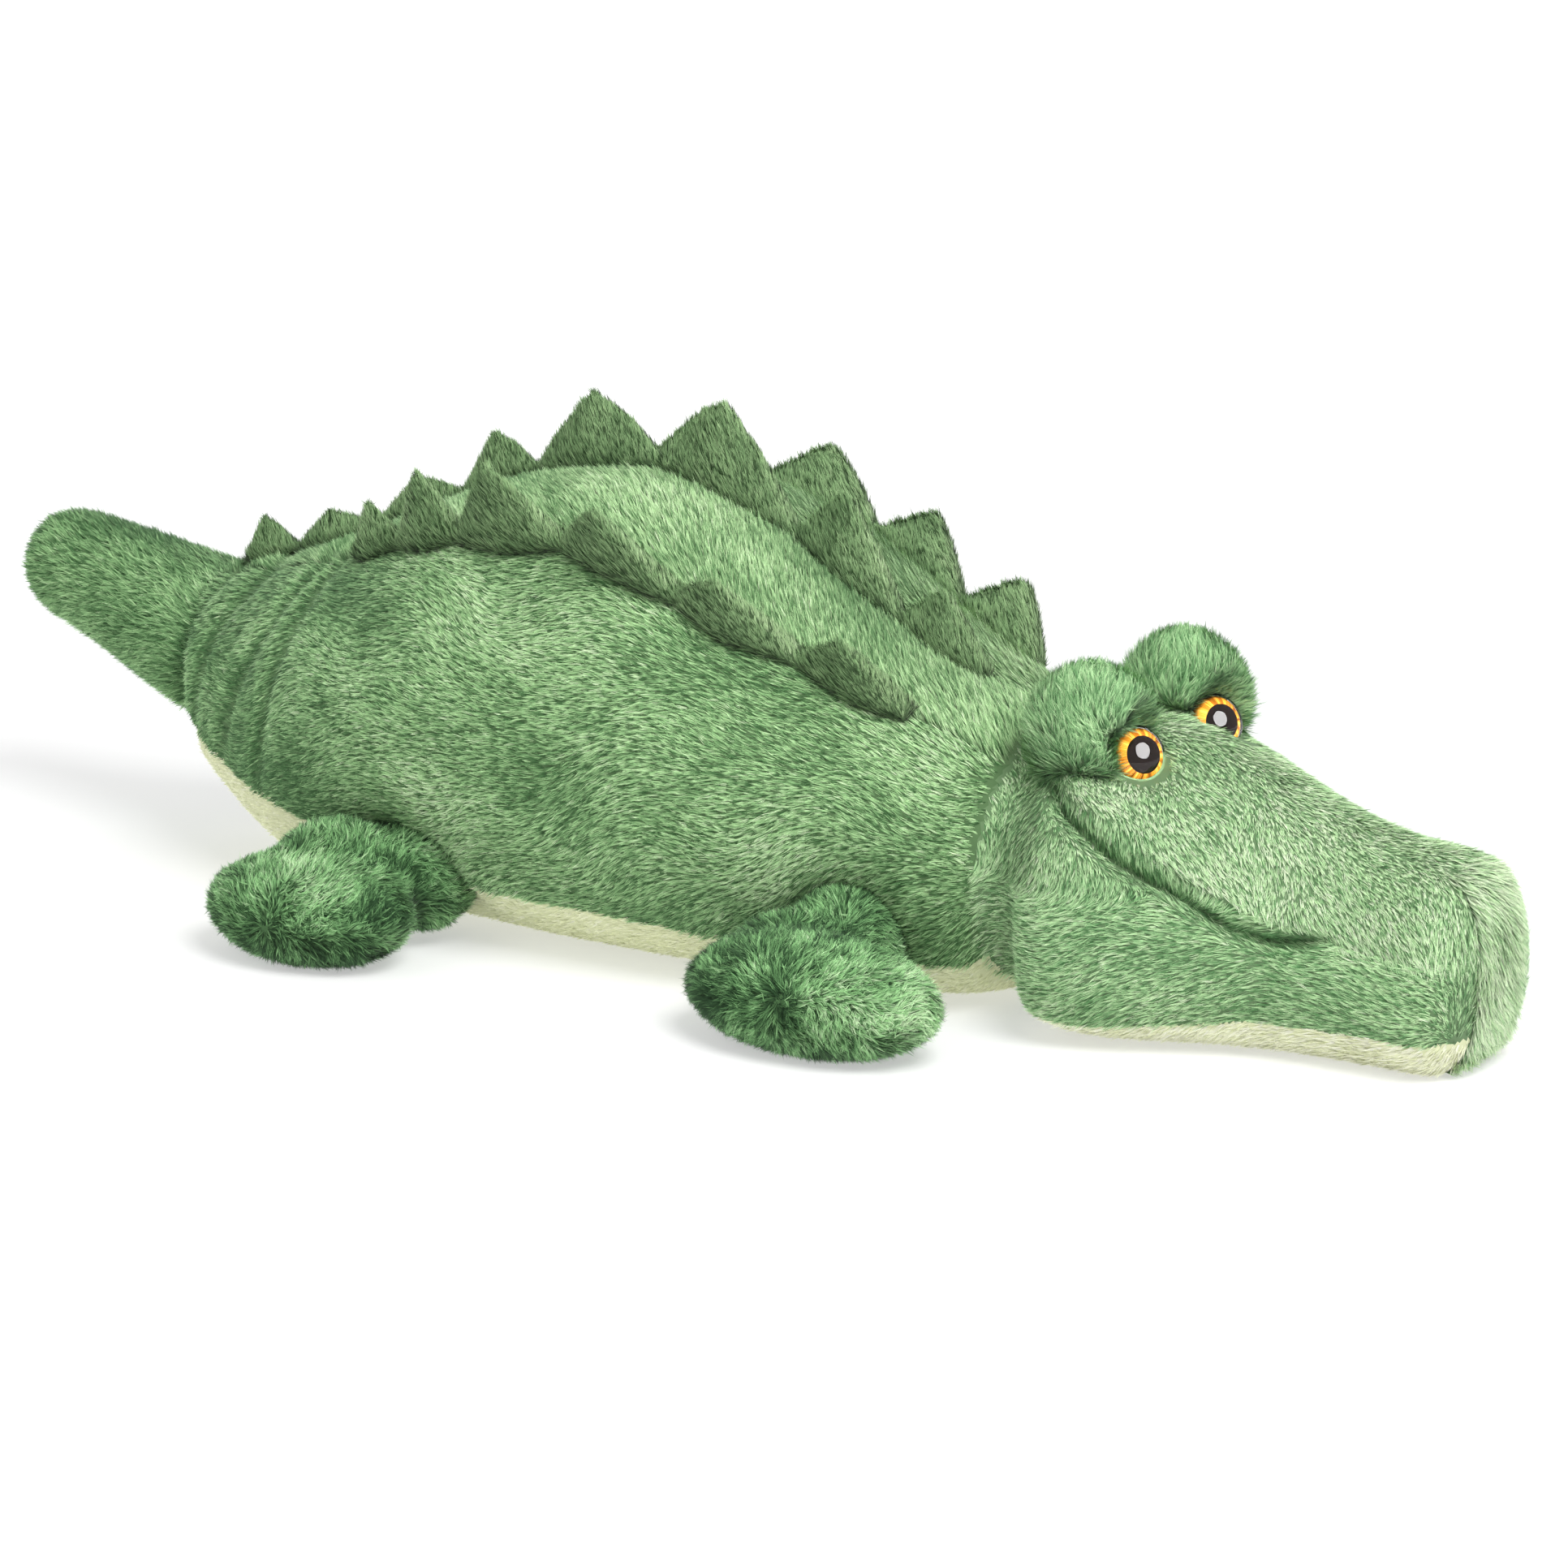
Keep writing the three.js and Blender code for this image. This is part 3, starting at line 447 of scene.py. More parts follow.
# The body's cloth in the simulation, and how far it may swell, elsewhere and on the back
STUFFING_PRESSURE = 450.0
CLOTH_MASS = 0.01
CLOTH_STIFFNESS = 5.0
SIMULATED_FRAMES = 14
MOST_SWELL, MOST_BACK_SWELL = 2.5 * MM, 7 * MM


def stuffed(skin, seams, most):
    """Lets the stuffing press the cloth out between its seams, which stay where they are."""
    start = arrays_of(skin.data)[1]
    held = skin.vertex_groups.new(name="seams")
    held.add(np.flatnonzero(seams).tolist(), 1.0, "REPLACE")
    cloth = skin.modifiers.new("stuffing", "CLOTH")
    cloth.settings.mass = CLOTH_MASS
    cloth.settings.tension_stiffness = cloth.settings.compression_stiffness = CLOTH_STIFFNESS
    cloth.settings.tension_damping = cloth.settings.compression_damping = 0
    cloth.settings.shear_damping = cloth.settings.bending_damping = cloth.settings.air_damping = 0
    cloth.settings.use_pressure = True
    cloth.settings.uniform_pressure_force = STUFFING_PRESSURE
    cloth.settings.vertex_group_mass = "seams"
    cloth.settings.effector_weights.gravity = 0
    cloth.point_cache.frame_end = SIMULATED_FRAMES
    for frame_number in range(1, SIMULATED_FRAMES + 1):
        bpy.context.scene.frame_set(frame_number)
    apply_all(skin)
    bpy.context.scene.frame_set(1)
    moved = arrays_of(skin.data)[1] - start
    length = np.linalg.norm(moved, axis=1, keepdims=True)
    points = start + moved * np.minimum(1, most[:, None] / np.maximum(length, 1e-9))
    points[:, 2] = np.maximum(points[:, 2], start[:, 2].min())
    put_points(skin.data, points)


def seams_between(triangles, which):
    """Points of a mesh whose triangles belong to more than one panel."""
    lowest = np.full(triangles.max() + 1, len(COVERS))
    highest = np.full(triangles.max() + 1, -1)
    np.minimum.at(lowest, triangles.ravel(), np.repeat(which, 3))
    np.maximum.at(highest, triangles.ravel(), np.repeat(which, 3))
    return lowest != highest


def body_skin():
    """The body's cloth, and the number of the panel that each of its triangles belongs to."""
    skin = cloth_over("body_skin", COVERS + FILLINGS, CLOTH_GRAIN, CLOTH_ROUNDS)
    triangles, points, _ = arrays_of(skin.data)
    which = nearest_cover(points[triangles].mean(1))
    most = np.full(len(points), MOST_SWELL)
    most[triangles[np.isin(which, BACK_PANELS)]] = MOST_BACK_SWELL
    stuffed(skin, seams_between(triangles, which), most)
    skin.modifiers.new("finer", "SUBSURF").levels = 1
    apply_all(skin)
    triangles, points, _ = arrays_of(skin.data)
    middles = points[triangles].mean(1)
    which = nearest_cover(middles)
    for side in SIDES:
        seam = np.interp(middles[:, 0] / MM, BELLY_SEAM_X, BELLY_SEAM_Z) * MM
        low = (which == COVERS.index(f"side_panel_{side}")) & (middles[:, 2] < seam)
        which[low] = COVERS.index("belly_panel")
    crease_body(skin.data)
    return skin, which


# Direction of the fur at points in mm, with their normals
SPIKE_FLOW = (-0.35, 0.0, 1.0)
HEAD_PARTING = 15               # half width of the strip where the head's pile parts
JAW_START, JAW_END = 215, 290   # where the cheek's pile turns, along the head and up
CHEEK_LOW, CHEEK_HIGH = 55, 75


def comb_rearwards(size, seed, aside, lift, rise, closing=0):
    """Pile that lies towards the tail: how far it swirls aside and upwards, and its steady lift and
    lean towards the middle."""
    def comb(p, n):
        swirl = waves(p, size, seed)
        across = -closing * np.sign(p[:, 1]) + aside * swirl
        return np.stack([-np.ones(len(p)), across, lift + rise * swirl], 1)
    return comb


def comb_head_top(p, n):
    swirl = waves(p, 50, 15)
    out = p[:, 1] / (np.abs(p[:, 1]) + HEAD_PARTING)
    return np.stack([0.6 + 0.2 * swirl, 0.7 * out + 0.25 * swirl, -0.5 + 0 * out], 1)


def comb_cheek(p, n):
    swirl = waves(p, 50, 16)
    jaw = smooth_step(JAW_START, JAW_END, p[:, 0])
    above = smooth_step(CHEEK_LOW, CHEEK_HIGH, p[:, 2])
    fall = -0.2 + 0.5 * jaw * (1 - above) - 0.9 * above
    return np.stack([-1 + 1.3 * above, 0.2 * swirl, fall + 0.35 * swirl], 1)


def comb_from(place, lean, size=40, seed=17, twist=0.6):
    """Pile that grows outwards from a place, with a lean, and twists to and fro."""
    def comb(p, n):
        swirl = waves(p, size, seed)
        outwards = unit(p - np.array(place))
        turned = np.cross(n, outwards) * swirl[:, None] * twist
        return outwards + turned + np.array(lean)
    return comb


def comb_spike(p, n):
    return np.tile(SPIKE_FLOW, (len(p), 1))


# Shade of the fur, from 0 for the darkest to 1 for the palest. Waves are patches of the dye; the other
# terms add painted shade and painted light, as noted
MIDDLE_SHADE, SPIKE_SHADE = 0.5, 0.4


def shade_spike(p, n):
    """Painted highlight: lighter along the edges of each spike, where the pile turns over and catches
    the light.
    """
    # painted highlight on the spike's edges, where the normal points along the toy
    painted_edge_highlight = 0.22 * smooth_step(0.3, 0.75, np.abs(n[:, 0]))
    return SPIKE_SHADE + painted_edge_highlight + 0.08 * waves(p, 30, 27)


def shade_plain(p, n):
    return np.full(len(p), MIDDLE_SHADE)


def shade_side(p, n):
    """Patchy, with painted shade that makes it darker low down, at the rear and in the folds."""
    patches = 0.16 * waves(p, 85, 21) + 0.12 * waves(p, 34, 22)
    # painted shade: darker low down, towards the rear, and in the folds across the rear
    under = -0.16 * smooth_step(60, 15, p[:, 2])
    rear = -0.18 * smooth_step(-60, -150, p[:, 0])
    return MIDDLE_SHADE + patches + under + rear - 0.22 * in_folds(p, 3)


def shade_head(p, n):
    """Less patchy, with painted shade that makes it darker in the mouth's crease and the jaw's."""
    # painted shade in the mouth's crease and in the jaw's crease
    mouth = 0.45 * in_mouth(p, MOUTH_LOW, 3)
    jaw = 0.15 * np.exp(-(nearest_on(p, JAW_CREASE) / 5) ** 2)
    return MIDDLE_SHADE + 0.1 * waves(p, 50, 23) + 0.08 * waves(p, 20, 24) - (mouth + jaw)


def shade_cheek(p, n):
    """As the head, with painted shade that makes it darker under the jaw."""
    # painted shade under the jaw
    under = smooth_step(62, 44, p[:, 2]) * smooth_step(200, 240, p[:, 0])
    return shade_head(p, n) - 0.1 * under


def lighter(shade, amount):
    return lambda p, n: shade(p, n) + amount


PATCH_RADIUS = 18


def shade_leg(middle, base, front_light_slope):
    """Shade of a leg with a dark patch, with painted shade low down by the floor, and painted light
    that makes it lighter towards its front by a slope per mm.
    """
    def shade(p, n):
        # painted shade low down by the floor; painted light that grows towards the front
        under = -0.18 * smooth_step(14, 3, p[:, 2])
        ahead = front_light_slope * np.clip(p[:, 0] - middle[0], -40, 40)
        apart = np.linalg.norm((p - middle) * (1, 1, 1.5), axis=1)
        patch = -0.24 * np.exp(-(apart / PATCH_RADIUS) ** 2)
        return base + 0.2 * waves(p, 44, 25) + 0.2 * waves(p, 16, 26) + under + ahead + patch
    return shade


class Pile:
    """How the fur of one region grows: its direction, shade and material, length and width of a blade
    in mm, blades per square mm, lean in degrees, disorder, share of dark locks, which are painted
    shadow between locks, and mottling."""

    def __init__(self, comb, shade, look, length=4.8, width=0.5, density=3.3, lean=75, wild=0.15,
                 gaps=0.22, mottle=0.18):
        self.comb, self.shade, self.look = comb, shade, look
        self.length, self.width, self.density = length, width, density
        self.lean, self.wild = math.radians(lean), wild
        self.gaps, self.mottle = gaps, mottle


def roots_on(points, normals, triangles, density, rng):
    """Places spread evenly over the triangles, with the normal at each."""
    corners = points[triangles]
    sides = corners[:, 1:] - corners[:, :1]
    area = np.linalg.norm(np.cross(sides[:, 0], sides[:, 1]), axis=1) / 2
    count = max(1, int(area.sum() * density))
    at = (np.arange(count) + rng.random(count)) / count * area.sum()
    pick = np.minimum(np.searchsorted(np.cumsum(area), at), len(triangles) - 1)
    u, v = rng.random((2, count))
    over = u + v > 1
    u[over], v[over] = 1 - u[over], 1 - v[over]
    share = np.stack([1 - u - v, u, v], 1)[:, :, None]
    return (corners[pick] * share).sum(1), unit((normals[triangles[pick]] * share).sum(1))


STRANDS_IN_LOCK = 3
LOCK_SPREAD = 0.7               # mm that the strands of a lock stand from its middle
LOCK_CLOSING = 0.5              # share of that which they close in by at their tips
LOCK_SIZES = 0.14               # spread of the locks' lengths, and range of the strands' in a lock
STRAND_SIZES = (0.75, 1.15)
# Tone that dark locks lose, a painted shadow for the gaps between locks; and the spread of strands'
# tones
PAINTED_GAP_SHADOW, STRAND_SHADES = 0.6, 0.06
LIFTS = math.radians(7)
FLATTEST, STEEPEST = 1.6, 0.1   # radians from the normal
ROLL = 0.6                      # most that a blade turns about its own length, in radians
ROOT_DEPTH = 0.4                # mm that a blade starts under the cloth
ROUNDING = 0.35                 # turn of a blade's normals towards its edges
LOWEST_FUR = 0.3                # height above the floor
# Fur round the eyes, in mm: none grows within EYE_CLEARING unless it is behind the eye. Further out and
# down to TURNED_DEPTH it is turned away, less so with distance
EYE_CLEARING, BEHIND_EYE = 11.2, -2.5
TURNED_RADIUS, TURNED_DEPTH, TURNED_FADE, TURNED_FLOW = 30, -14, 4, 0.8


def part_round_eyes(root, flow):
    """Turns the fur away from the eyes. Returns its flow, and which of it may stay."""
    stays = np.ones(len(root), bool)
    for sign in SIDES.values():
        matrix = eye_matrix(sign)
        place = np.array(matrix.translation) / MM
        out = np.array(matrix.col[2][:3])
        out = out / np.linalg.norm(out)
        apart = root - place
        ahead = apart @ out
        beside = apart - ahead[:, None] * out
        radius = np.linalg.norm(beside, axis=1)
        stays &= (radius > EYE_CLEARING) | (ahead < BEHIND_EYE)
        near = np.exp(-(np.maximum(radius - EYE_CLEARING, 0) / TURNED_FADE) ** 2)
        near = near * (ahead > TURNED_DEPTH) * (radius < TURNED_RADIUS)
        flow = flow + TURNED_FLOW * near[:, None] * beside / np.maximum(radius, 1)[:, None]
    return flow, stays


def grow(points, normals, triangles, pile, rng):
    """Blades of fur, of one triangle each: their points, normals, triangles, shade, place from root to
    tip, and side."""
    root, up = roots_on(points, normals, triangles, pile.density / STRANDS_IN_LOCK, rng)
    shade = pile.shade(root, up) + pile.mottle * rng.normal(size=len(root))
    # painted shadow: some locks are made dark, as the gaps between locks are in shade
    shade -= PAINTED_GAP_SHADOW * (rng.random(len(root)) < pile.gaps)
    along = pile.comb(root, up)
    along = unit(along - up * (along * up).sum(1)[:, None])
    size = pile.length * (1 + LOCK_SIZES * rng.normal(size=len(root)))
    along, stays = part_round_eyes(root, along)
    flow = along + pile.wild * rng.normal(size=along.shape)
    flow = unit(flow - up * (flow * up).sum(1)[:, None])
    lift = rng.normal(size=len(root)) * LIFTS

    def each(values):
        return np.repeat(values[stays], STRANDS_IN_LOCK, axis=0)

    root, up, flow, lift, size, shade = map(each, (root, up, flow, lift, size, shade))
    count = len(root)
    across = np.cross(flow, up)
    spread = rng.uniform(-LOCK_SPREAD, LOCK_SPREAD, (2, count, 1))
    offset = across * spread[0] + flow * spread[1]
    root = root + offset
    size = size * rng.uniform(*STRAND_SIZES, count)
    shade = shade + STRAND_SHADES * rng.normal(size=count)
    roll = rng.uniform(-ROLL, ROLL, (count, 1))
    side = unit(across * np.cos(roll) + up * np.sin(roll)) * pile.width / 2
    base = root - ROOT_DEPTH * up
    angle = np.clip(pile.lean + lift, STEEPEST, FLATTEST)[:, None]
    reach = size[:, None] * (up * np.cos(angle) + flow * np.sin(angle))
    tip = base + reach - LOCK_CLOSING * offset
    blade = np.stack([base - side, base + side, tip], 1).reshape(-1, 3)
    blade[:, 2] = np.maximum(blade[:, 2], LOWEST_FUR)
    bend = unit(up + ROUNDING * side / pile.width)
    faces = np.arange(3 * count).reshape(-1, 3)
    height, nudge = np.tile([0, 0, 1.0], count), np.tile([-1, 1, 0], count)
    return blade, np.repeat(bend, 3, 0), faces, np.repeat(shade, 3), height, nudge


PALEST, DARKEST = 0.98, 0.02
NUDGE = 0.004                   # spread of a blade's corners on its map, so that its map isn't a line
# Tone of the cloth under the pile, and its height at the blades' roots, where it takes the painted root
# shade and shows dark between the blades
CLOTH_SHADE, CLOTH_HEIGHT = 0.35, 0.01


def built(name, points, triangles, normals, shade, height, nudge, material):
    """A piece with its shade and height as attributes, and as the map that its colour is baked on."""
    mesh = bpy.data.meshes.new(name)
    mesh.vertices.add(len(points))
    mesh.vertices.foreach_set("co", points.astype(np.float32).ravel())
    mesh.loops.add(triangles.size)
    mesh.loops.foreach_set("vertex_index", triangles.astype(np.int32).ravel())
    mesh.polygons.add(len(triangles))
    mesh.polygons.foreach_set("loop_start", np.arange(0, triangles.size, 3, dtype=np.int32))
    mesh.update(calc_edges=True)
    mesh.shade_smooth()
    shade = np.clip(shade, DARKEST, PALEST)
    for key, values in (("tone", shade), ("along", height)):
        attribute = mesh.attributes.new(key, "FLOAT", "POINT")
        attribute.data.foreach_set("value", values.astype(np.float32))
    strip = mesh.uv_layers.new(name="OFBake")
    place = np.stack([shade + NUDGE * nudge, 0.01 + 0.98 * height], 1)[triangles.ravel()]
    strip.uv.foreach_set("vector", place.astype(np.float32).ravel())
    custom = mesh.attributes.new("custom_normal", "FLOAT_VECTOR", "POINT")
    custom.data.foreach_set("vector", normals.astype(np.float32).ravel())
    mesh.materials.append(material)
    piece = bpy.data.objects.new(name, mesh)
    bpy.context.scene.collection.objects.link(piece)
    return piece


def plush(name, skin, chosen, pile, seed):
    """A piece of the chosen triangles of a skin, as cloth, and the pile that grows on them."""
    triangles, points, normals = skin
    used, numbers = np.unique(triangles[chosen], return_inverse=True)
    cloth = numbers.reshape(-1, 3)
    points, normals = points[used] / MM, normals[used]
    rng = np.random.default_rng(seed)
    blade, bend, faces, shade, height, nudge = grow(points, normals, cloth, pile, rng)
    tight = np.arange(len(points)) % 3
    return built(
        name,
        np.concatenate([points, blade]) * MM,
        np.concatenate([cloth, faces + len(points)]),
        np.concatenate([normals, bend]),
        np.concatenate([np.full(len(points), CLOTH_SHADE), shade]),
        np.concatenate([CLOTH_HEIGHT * tight, height]),
        np.concatenate([tight - 1.0, nudge]),
        pile.look,
    )


# Materials
def srgb(*channels):
    """Colour for a shader, from channels that go to 255."""
    return tuple((c / 255 / 12.92) if c < 10.3 else ((c / 255 + 0.055) / 1.055) ** 2.4
                 for c in channels)


def fur_look(name, dark, middle, light, pale, root=0.3):
    """Fur dyed by its tone, with painted shade deep in the pile: darker towards its roots, by a share
    of the colour, and a little lighter than the dye at its tips.
    """
    look = Look(name, Roughness=0.9, Sheen_Weight=0.08, Sheen_Roughness=0.5, Specular_IOR_Level=0.12)
    tone = look.attribute("tone")
    height = look.attribute("along")
    dyes = zip((0.0, 0.35, 0.65, 1.0), (srgb(*dye) for dye in (dark, middle, light, pale)))
    dye = look.ramp(tone, *dyes)
    # painted shade deep in the pile: darker from the tips down to the roots
    depth = look.ramp(height, (0.0, (root,) * 3), (0.3, (0.3 + 0.7 * root,) * 3),
                      (0.7, (0.98,) * 3), (1.0, (1.15,) * 3))
    return look.paint(Base_Color=look.multiplied(dye, depth))


def plain_look(name, colour, roughness, specular=0.5):
    fixed = {"Roughness": roughness, "Specular_IOR_Level": specular}
    return Look(name, Base_Color=(*colour, 1), **fixed).material


def fibre_look():
    look = Look("white_fibre", Roughness=0.95)
    wisps = look.noise(260, 6, 0.7, Distortion=0.8)
    look.paint(Base_Color=look.ramp(wisps, (0.25, srgb(196, 196, 190)), (0.75, srgb(240, 240, 236))))
    return look.paint(Normal=look.bump(wisps, 0.0015, 0.8))


def pellet_look():
    look = Look("pellet_cloth", Roughness=0.8)
    beads = look.node("ShaderNodeTexVoronoi", None, {"Vector": look.coordinates(), "Scale": 330})
    look.paint(Base_Color=look.ramp(beads, (0.1, srgb(214, 212, 202)), (0.7, srgb(160, 158, 150))))
    return look.paint(Normal=look.bump(1 - beads, 0.0012, 0.7))


GREEN = fur_look("pile_side", (72, 114, 68), (148, 194, 132), (188, 230, 166), (230, 254, 208))
BACK = fur_look("pile_back", (92, 134, 84), (166, 206, 146), (200, 236, 176), (236, 255, 214))
HEAD = fur_look("pile_head", (96, 146, 92), (172, 216, 156), (206, 242, 184), (240, 255, 220))
CREAM = fur_look("pile_belly", (196, 204, 152), (242, 247, 202), (252, 255, 220), (255, 255, 238), 0.75)
SPIKE = fur_look("pile_spike", (46, 72, 40), (124, 158, 108), (160, 192, 138), (206, 232, 182))
LEG = fur_look("pile_leg", (36, 66, 38), (120, 172, 110), (170, 224, 154), (224, 252, 204))
CRISP = {"length": 7.0, "width": 0.44, "density": 4.6, "lean": 62, "wild": 0.3, "gaps": 0.2}
FUZZ = {"length": 5.5, "width": 0.44, "density": 5.0, "lean": 64, "wild": 0.45, "gaps": 0.22}
comb_side = comb_rearwards(70, 11, aside=0, lift=-0.12, rise=0.55)
comb_back = comb_rearwards(60, 12, aside=0.3, lift=0.45, rise=0.3, closing=0.5)
comb_belly = comb_rearwards(60, 13, aside=0.4, lift=0, rise=0)
comb_tail = comb_rearwards(45, 14, aside=0.3, lift=0.15, rise=0.35)
comb_snout = comb_from((300, 0, 55), (0.3, 0, 0))
PILES = {
    "side_panel": Pile(comb_side, shade_side, GREEN),
    "back_panel": Pile(comb_back, lighter(shade_side, -0.13), BACK, length=6.5, density=3.7, lean=66),
    "tail_cover": Pile(comb_tail, lighter(shade_side, -0.08), GREEN, length=6.0, density=4.0, lean=64,
                       wild=0.3),
    "cheek_panel": Pile(comb_cheek, shade_cheek, HEAD),
    "belly_panel": Pile(comb_belly, shade_plain, CREAM, length=3.5, density=1.5, gaps=0),
    # painted light: the chin's pile is lighter, standing in for the light that the floor throws up
    # under it
    "chin_panel": Pile(comb_belly, lighter(shade_plain, 0.3), CREAM, length=4.5, density=2.8, gaps=0),
    # painted light: the head's top panel is lighter, where light falls from above
    "head_top_panel": Pile(comb_head_top, lighter(shade_head, 0.22), HEAD),
    # painted light: the snout's front is lighter still, where the key light falls on it
    "snout_front_panel": Pile(comb_snout, lighter(shade_head, 0.4), HEAD, **CRISP),
}


PANEL_SEED = 100


def cover_body():
    """Cuts the body's skin into its panels and gives each its pile."""
    skin, which = body_skin()
    triangles, points, normals = arrays_of(skin.data)
    middles = points[triangles].mean(1)
    for number, cover in enumerate(COVERS):
        panel = cover.replace("_left", "").replace("_right", "")
        of_trunk = panel in ("side_panel", "back_panel", "belly_panel")
        ahead = middles[:, 0] > TRUNK_MIDDLE
        parts = [("front", ahead), ("rear", ~ahead)] if of_trunk else [("", ahead | ~ahead)]
        for part, there in parts:
            chosen = (which == number) & there
            if not chosen.any():
                continue
            name = "_".join(filter(None, (cover, part, "plush")))
            piece = plush(name, (triangles, points, normals), chosen, PILES[panel], PANEL_SEED + number)
            if panel == "tail_cover" or part == "rear":
                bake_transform(piece)
            else:
                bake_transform(piece)
            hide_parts(cover)
    bpy.data.objects.remove(skin)


def whole_plush(name, members, mesh, pile, body, seed):
    """A stuffed piece of its own, such as a leg: one skin with pile all over."""
    skin = cloth_over(name + "_skin", members, *mesh)
    triangles, points, normals = arrays_of(skin.data)
    chosen = np.ones(len(triangles), bool)
    piece = plush(name, (triangles, points, normals), chosen, pile, seed)
    bpy.data.objects.remove(skin)
    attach(piece, body)
    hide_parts(*members)


def middle_of(node):
    low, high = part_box(node)
    return (np.array(low) + np.array(high)) / 2 / MM


# Of each leg: where the whorl of its pile lies from the middle of its paw, ahead, outwards and up, its
# shade, and how much painted light makes it lighter per mm towards its front
LEG_FUR = {"front": (3, 28, 6, 0.4, 0.006), "hind": (0, 32, -1, 0.36, 0)}
WHORL_SIZE = 22
LEG_SEED, BROW_COMB_SEED, BROW_SEED, SPIKE_SEED = 300, 330, 340, 350


def cover_limbs():
    seed = LEG_SEED
    for side, sign in SIDES.items():
        for end, (ahead, outwards, raised, base, front_light_slope) in LEG_FUR.items():
            seed += 1
            leg, paw = f"{end}_leg_{side}", f"{end}_paw_{side}"
            whorl = middle_of(paw) + (ahead, sign * outwards, raised)
            comb = comb_from(whorl, (-0.1, 0, 0.15), WHORL_SIZE, seed, twist=1.3)
            pile = Pile(comb, shade_leg(whorl + (0, 8 * sign, -6), base, front_light_slope), LEG, **FUZZ)
            whole_plush(f"{end}_limb_{side}_plush", [leg, paw], LEG_MESH, pile, leg, seed)
        brow = f"brow_{side}"
        below = middle_of(brow) + (0, 0, -22)
        comb = comb_from(below, (0, 0, 0.1), WHORL_SIZE, BROW_COMB_SEED + sign)
        pile = Pile(comb, lighter(shade_head, -0.2), HEAD, **CRISP)
        whole_plush(f"{brow}_plush", [brow], BROW_MESH, pile, "head", BROW_SEED + sign)
    pile = Pile(comb_spike, shade_spike, SPIKE, length=5.0, width=0.47, density=4.1, lean=78, wild=0.12,
                gaps=0.14, mottle=0.1)
    for seed, side in enumerate(("left", "right", "middle"), SPIKE_SEED):
        row = f"spike_row_{side}"
        whole_plush(f"{row}_plush", [row], SPIKE_MESH, pile, "trunk", seed)


# Eyes: turned plastic parts, in mm, in the eye's own frame with +Z looking out. The gaze is turned
# aside by EYE_GAZE and apart by EYE_SPLAY, and up by EYE_TILT, in degrees
EYE_SPLAY, EYE_GAZE, EYE_TILT = 0.5, -27.5, 19
EYE_PLACE = (210, 30, 105.5)
EYE_AHEAD = 2
TURNING_STEPS, DOME_STEPS = 72, 26
LENS_RADIUS, LENS_RISE, LENS_BASE, LENS_FLOOR = 11, 7.5, 3.7, 3.1
FOIL_RADIUS, FOIL_RISE, FOIL_BASE, FOIL_THICKNESS = 10.4, 6.6, 2.6, 0.5
PUPIL_RADIUS, PUPIL_OVERLAP, PUPIL_RISE = 6.9, 0.4, 6.7
PLATE = [(0, -11), (2.4, -11), (2.8, -10.4), (3, -9), (3, 0), (11, 0), (11.6, 0.5), (11.7, 2.2),
         (11.5, 3.3), (11.1, 3.3), (11.1, 1.8), (0, 1.8)]


def eye_matrix(sign):
    tilt, aside = math.radians(EYE_TILT), math.radians(EYE_SPLAY * sign + EYE_GAZE)
    out = Vector((math.cos(tilt) * math.cos(aside), math.cos(tilt) * math.sin(aside), math.sin(tilt)))
    turn = out.to_track_quat("Z", "Y").to_matrix().to_4x4()
    place = (Vector((EYE_PLACE[0], EYE_PLACE[1] * sign, EYE_PLACE[2])) + EYE_AHEAD * out) * MM
    return Matrix.Translation(place) @ turn @ Matrix.Scale(MM, 4)


def turned(name, profile, matrix, look, node):
    """A part turned from a profile of (radius, height), in the place of a CAD node."""
    mesh = bpy.data.meshes.new(name)
    edges = [(i, i + 1) for i in range(len(profile) - 1)]
    mesh.from_pydata([(r, 0, z) for r, z in profile], edges, [])
    piece = bpy.data.objects.new(name, mesh)
    bpy.context.scene.collection.objects.link(piece)
    lathe = piece.modifiers.new("lathe", "SCREW")
    lathe.steps = lathe.render_steps = TURNING_STEPS
    lathe.use_merge_vertices = True
    lathe.merge_threshold = 0.01
    lathe.use_normal_calculate = True
    apply_all(piece)
    bpy.ops.object.mode_set(mode="EDIT")
    bpy.ops.mesh.select_all(action="SELECT")
    bpy.ops.mesh.normals_make_consistent(inside=False)
    bpy.ops.object.mode_set(mode="OBJECT")
    face = mesh.uv_layers.new(name="face")
    points = np.zeros((len(mesh.vertices), 3), np.float32)
    mesh.vertices.foreach_get("co", points.ravel())
    numbers = np.zeros(len(mesh.loops), np.int32)
    mesh.loops.foreach_get("vertex_index", numbers)
    face.uv.foreach_set("vector", points[numbers, :2].ravel())
    mesh.transform(matrix)
    bpy.ops.object.shade_smooth_by_angle(angle=math.radians(35))
    mesh.materials.append(look)
    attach(piece, "head")
    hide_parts(node)
    return piece


def clear_look():
    """Clear plastic that casts no shadow on what lies under it."""
    look = Look("clear_lens", Base_Color=(1, 1, 1, 1), Roughness=0.0, IOR=1.02, Transmission_Weight=1.0,
                Coat_Weight=0.8, Coat_Roughness=0.01)
    path = look.tree.nodes.new("ShaderNodeLightPath")
    bare = look.tree.nodes.new("ShaderNodeBsdfTransparent")
    link_mix(look.tree, path.outputs["Is Shadow Ray"], look.shader.outputs[0], bare.outputs[0],
             look.output.inputs["Surface"])
    return look.material


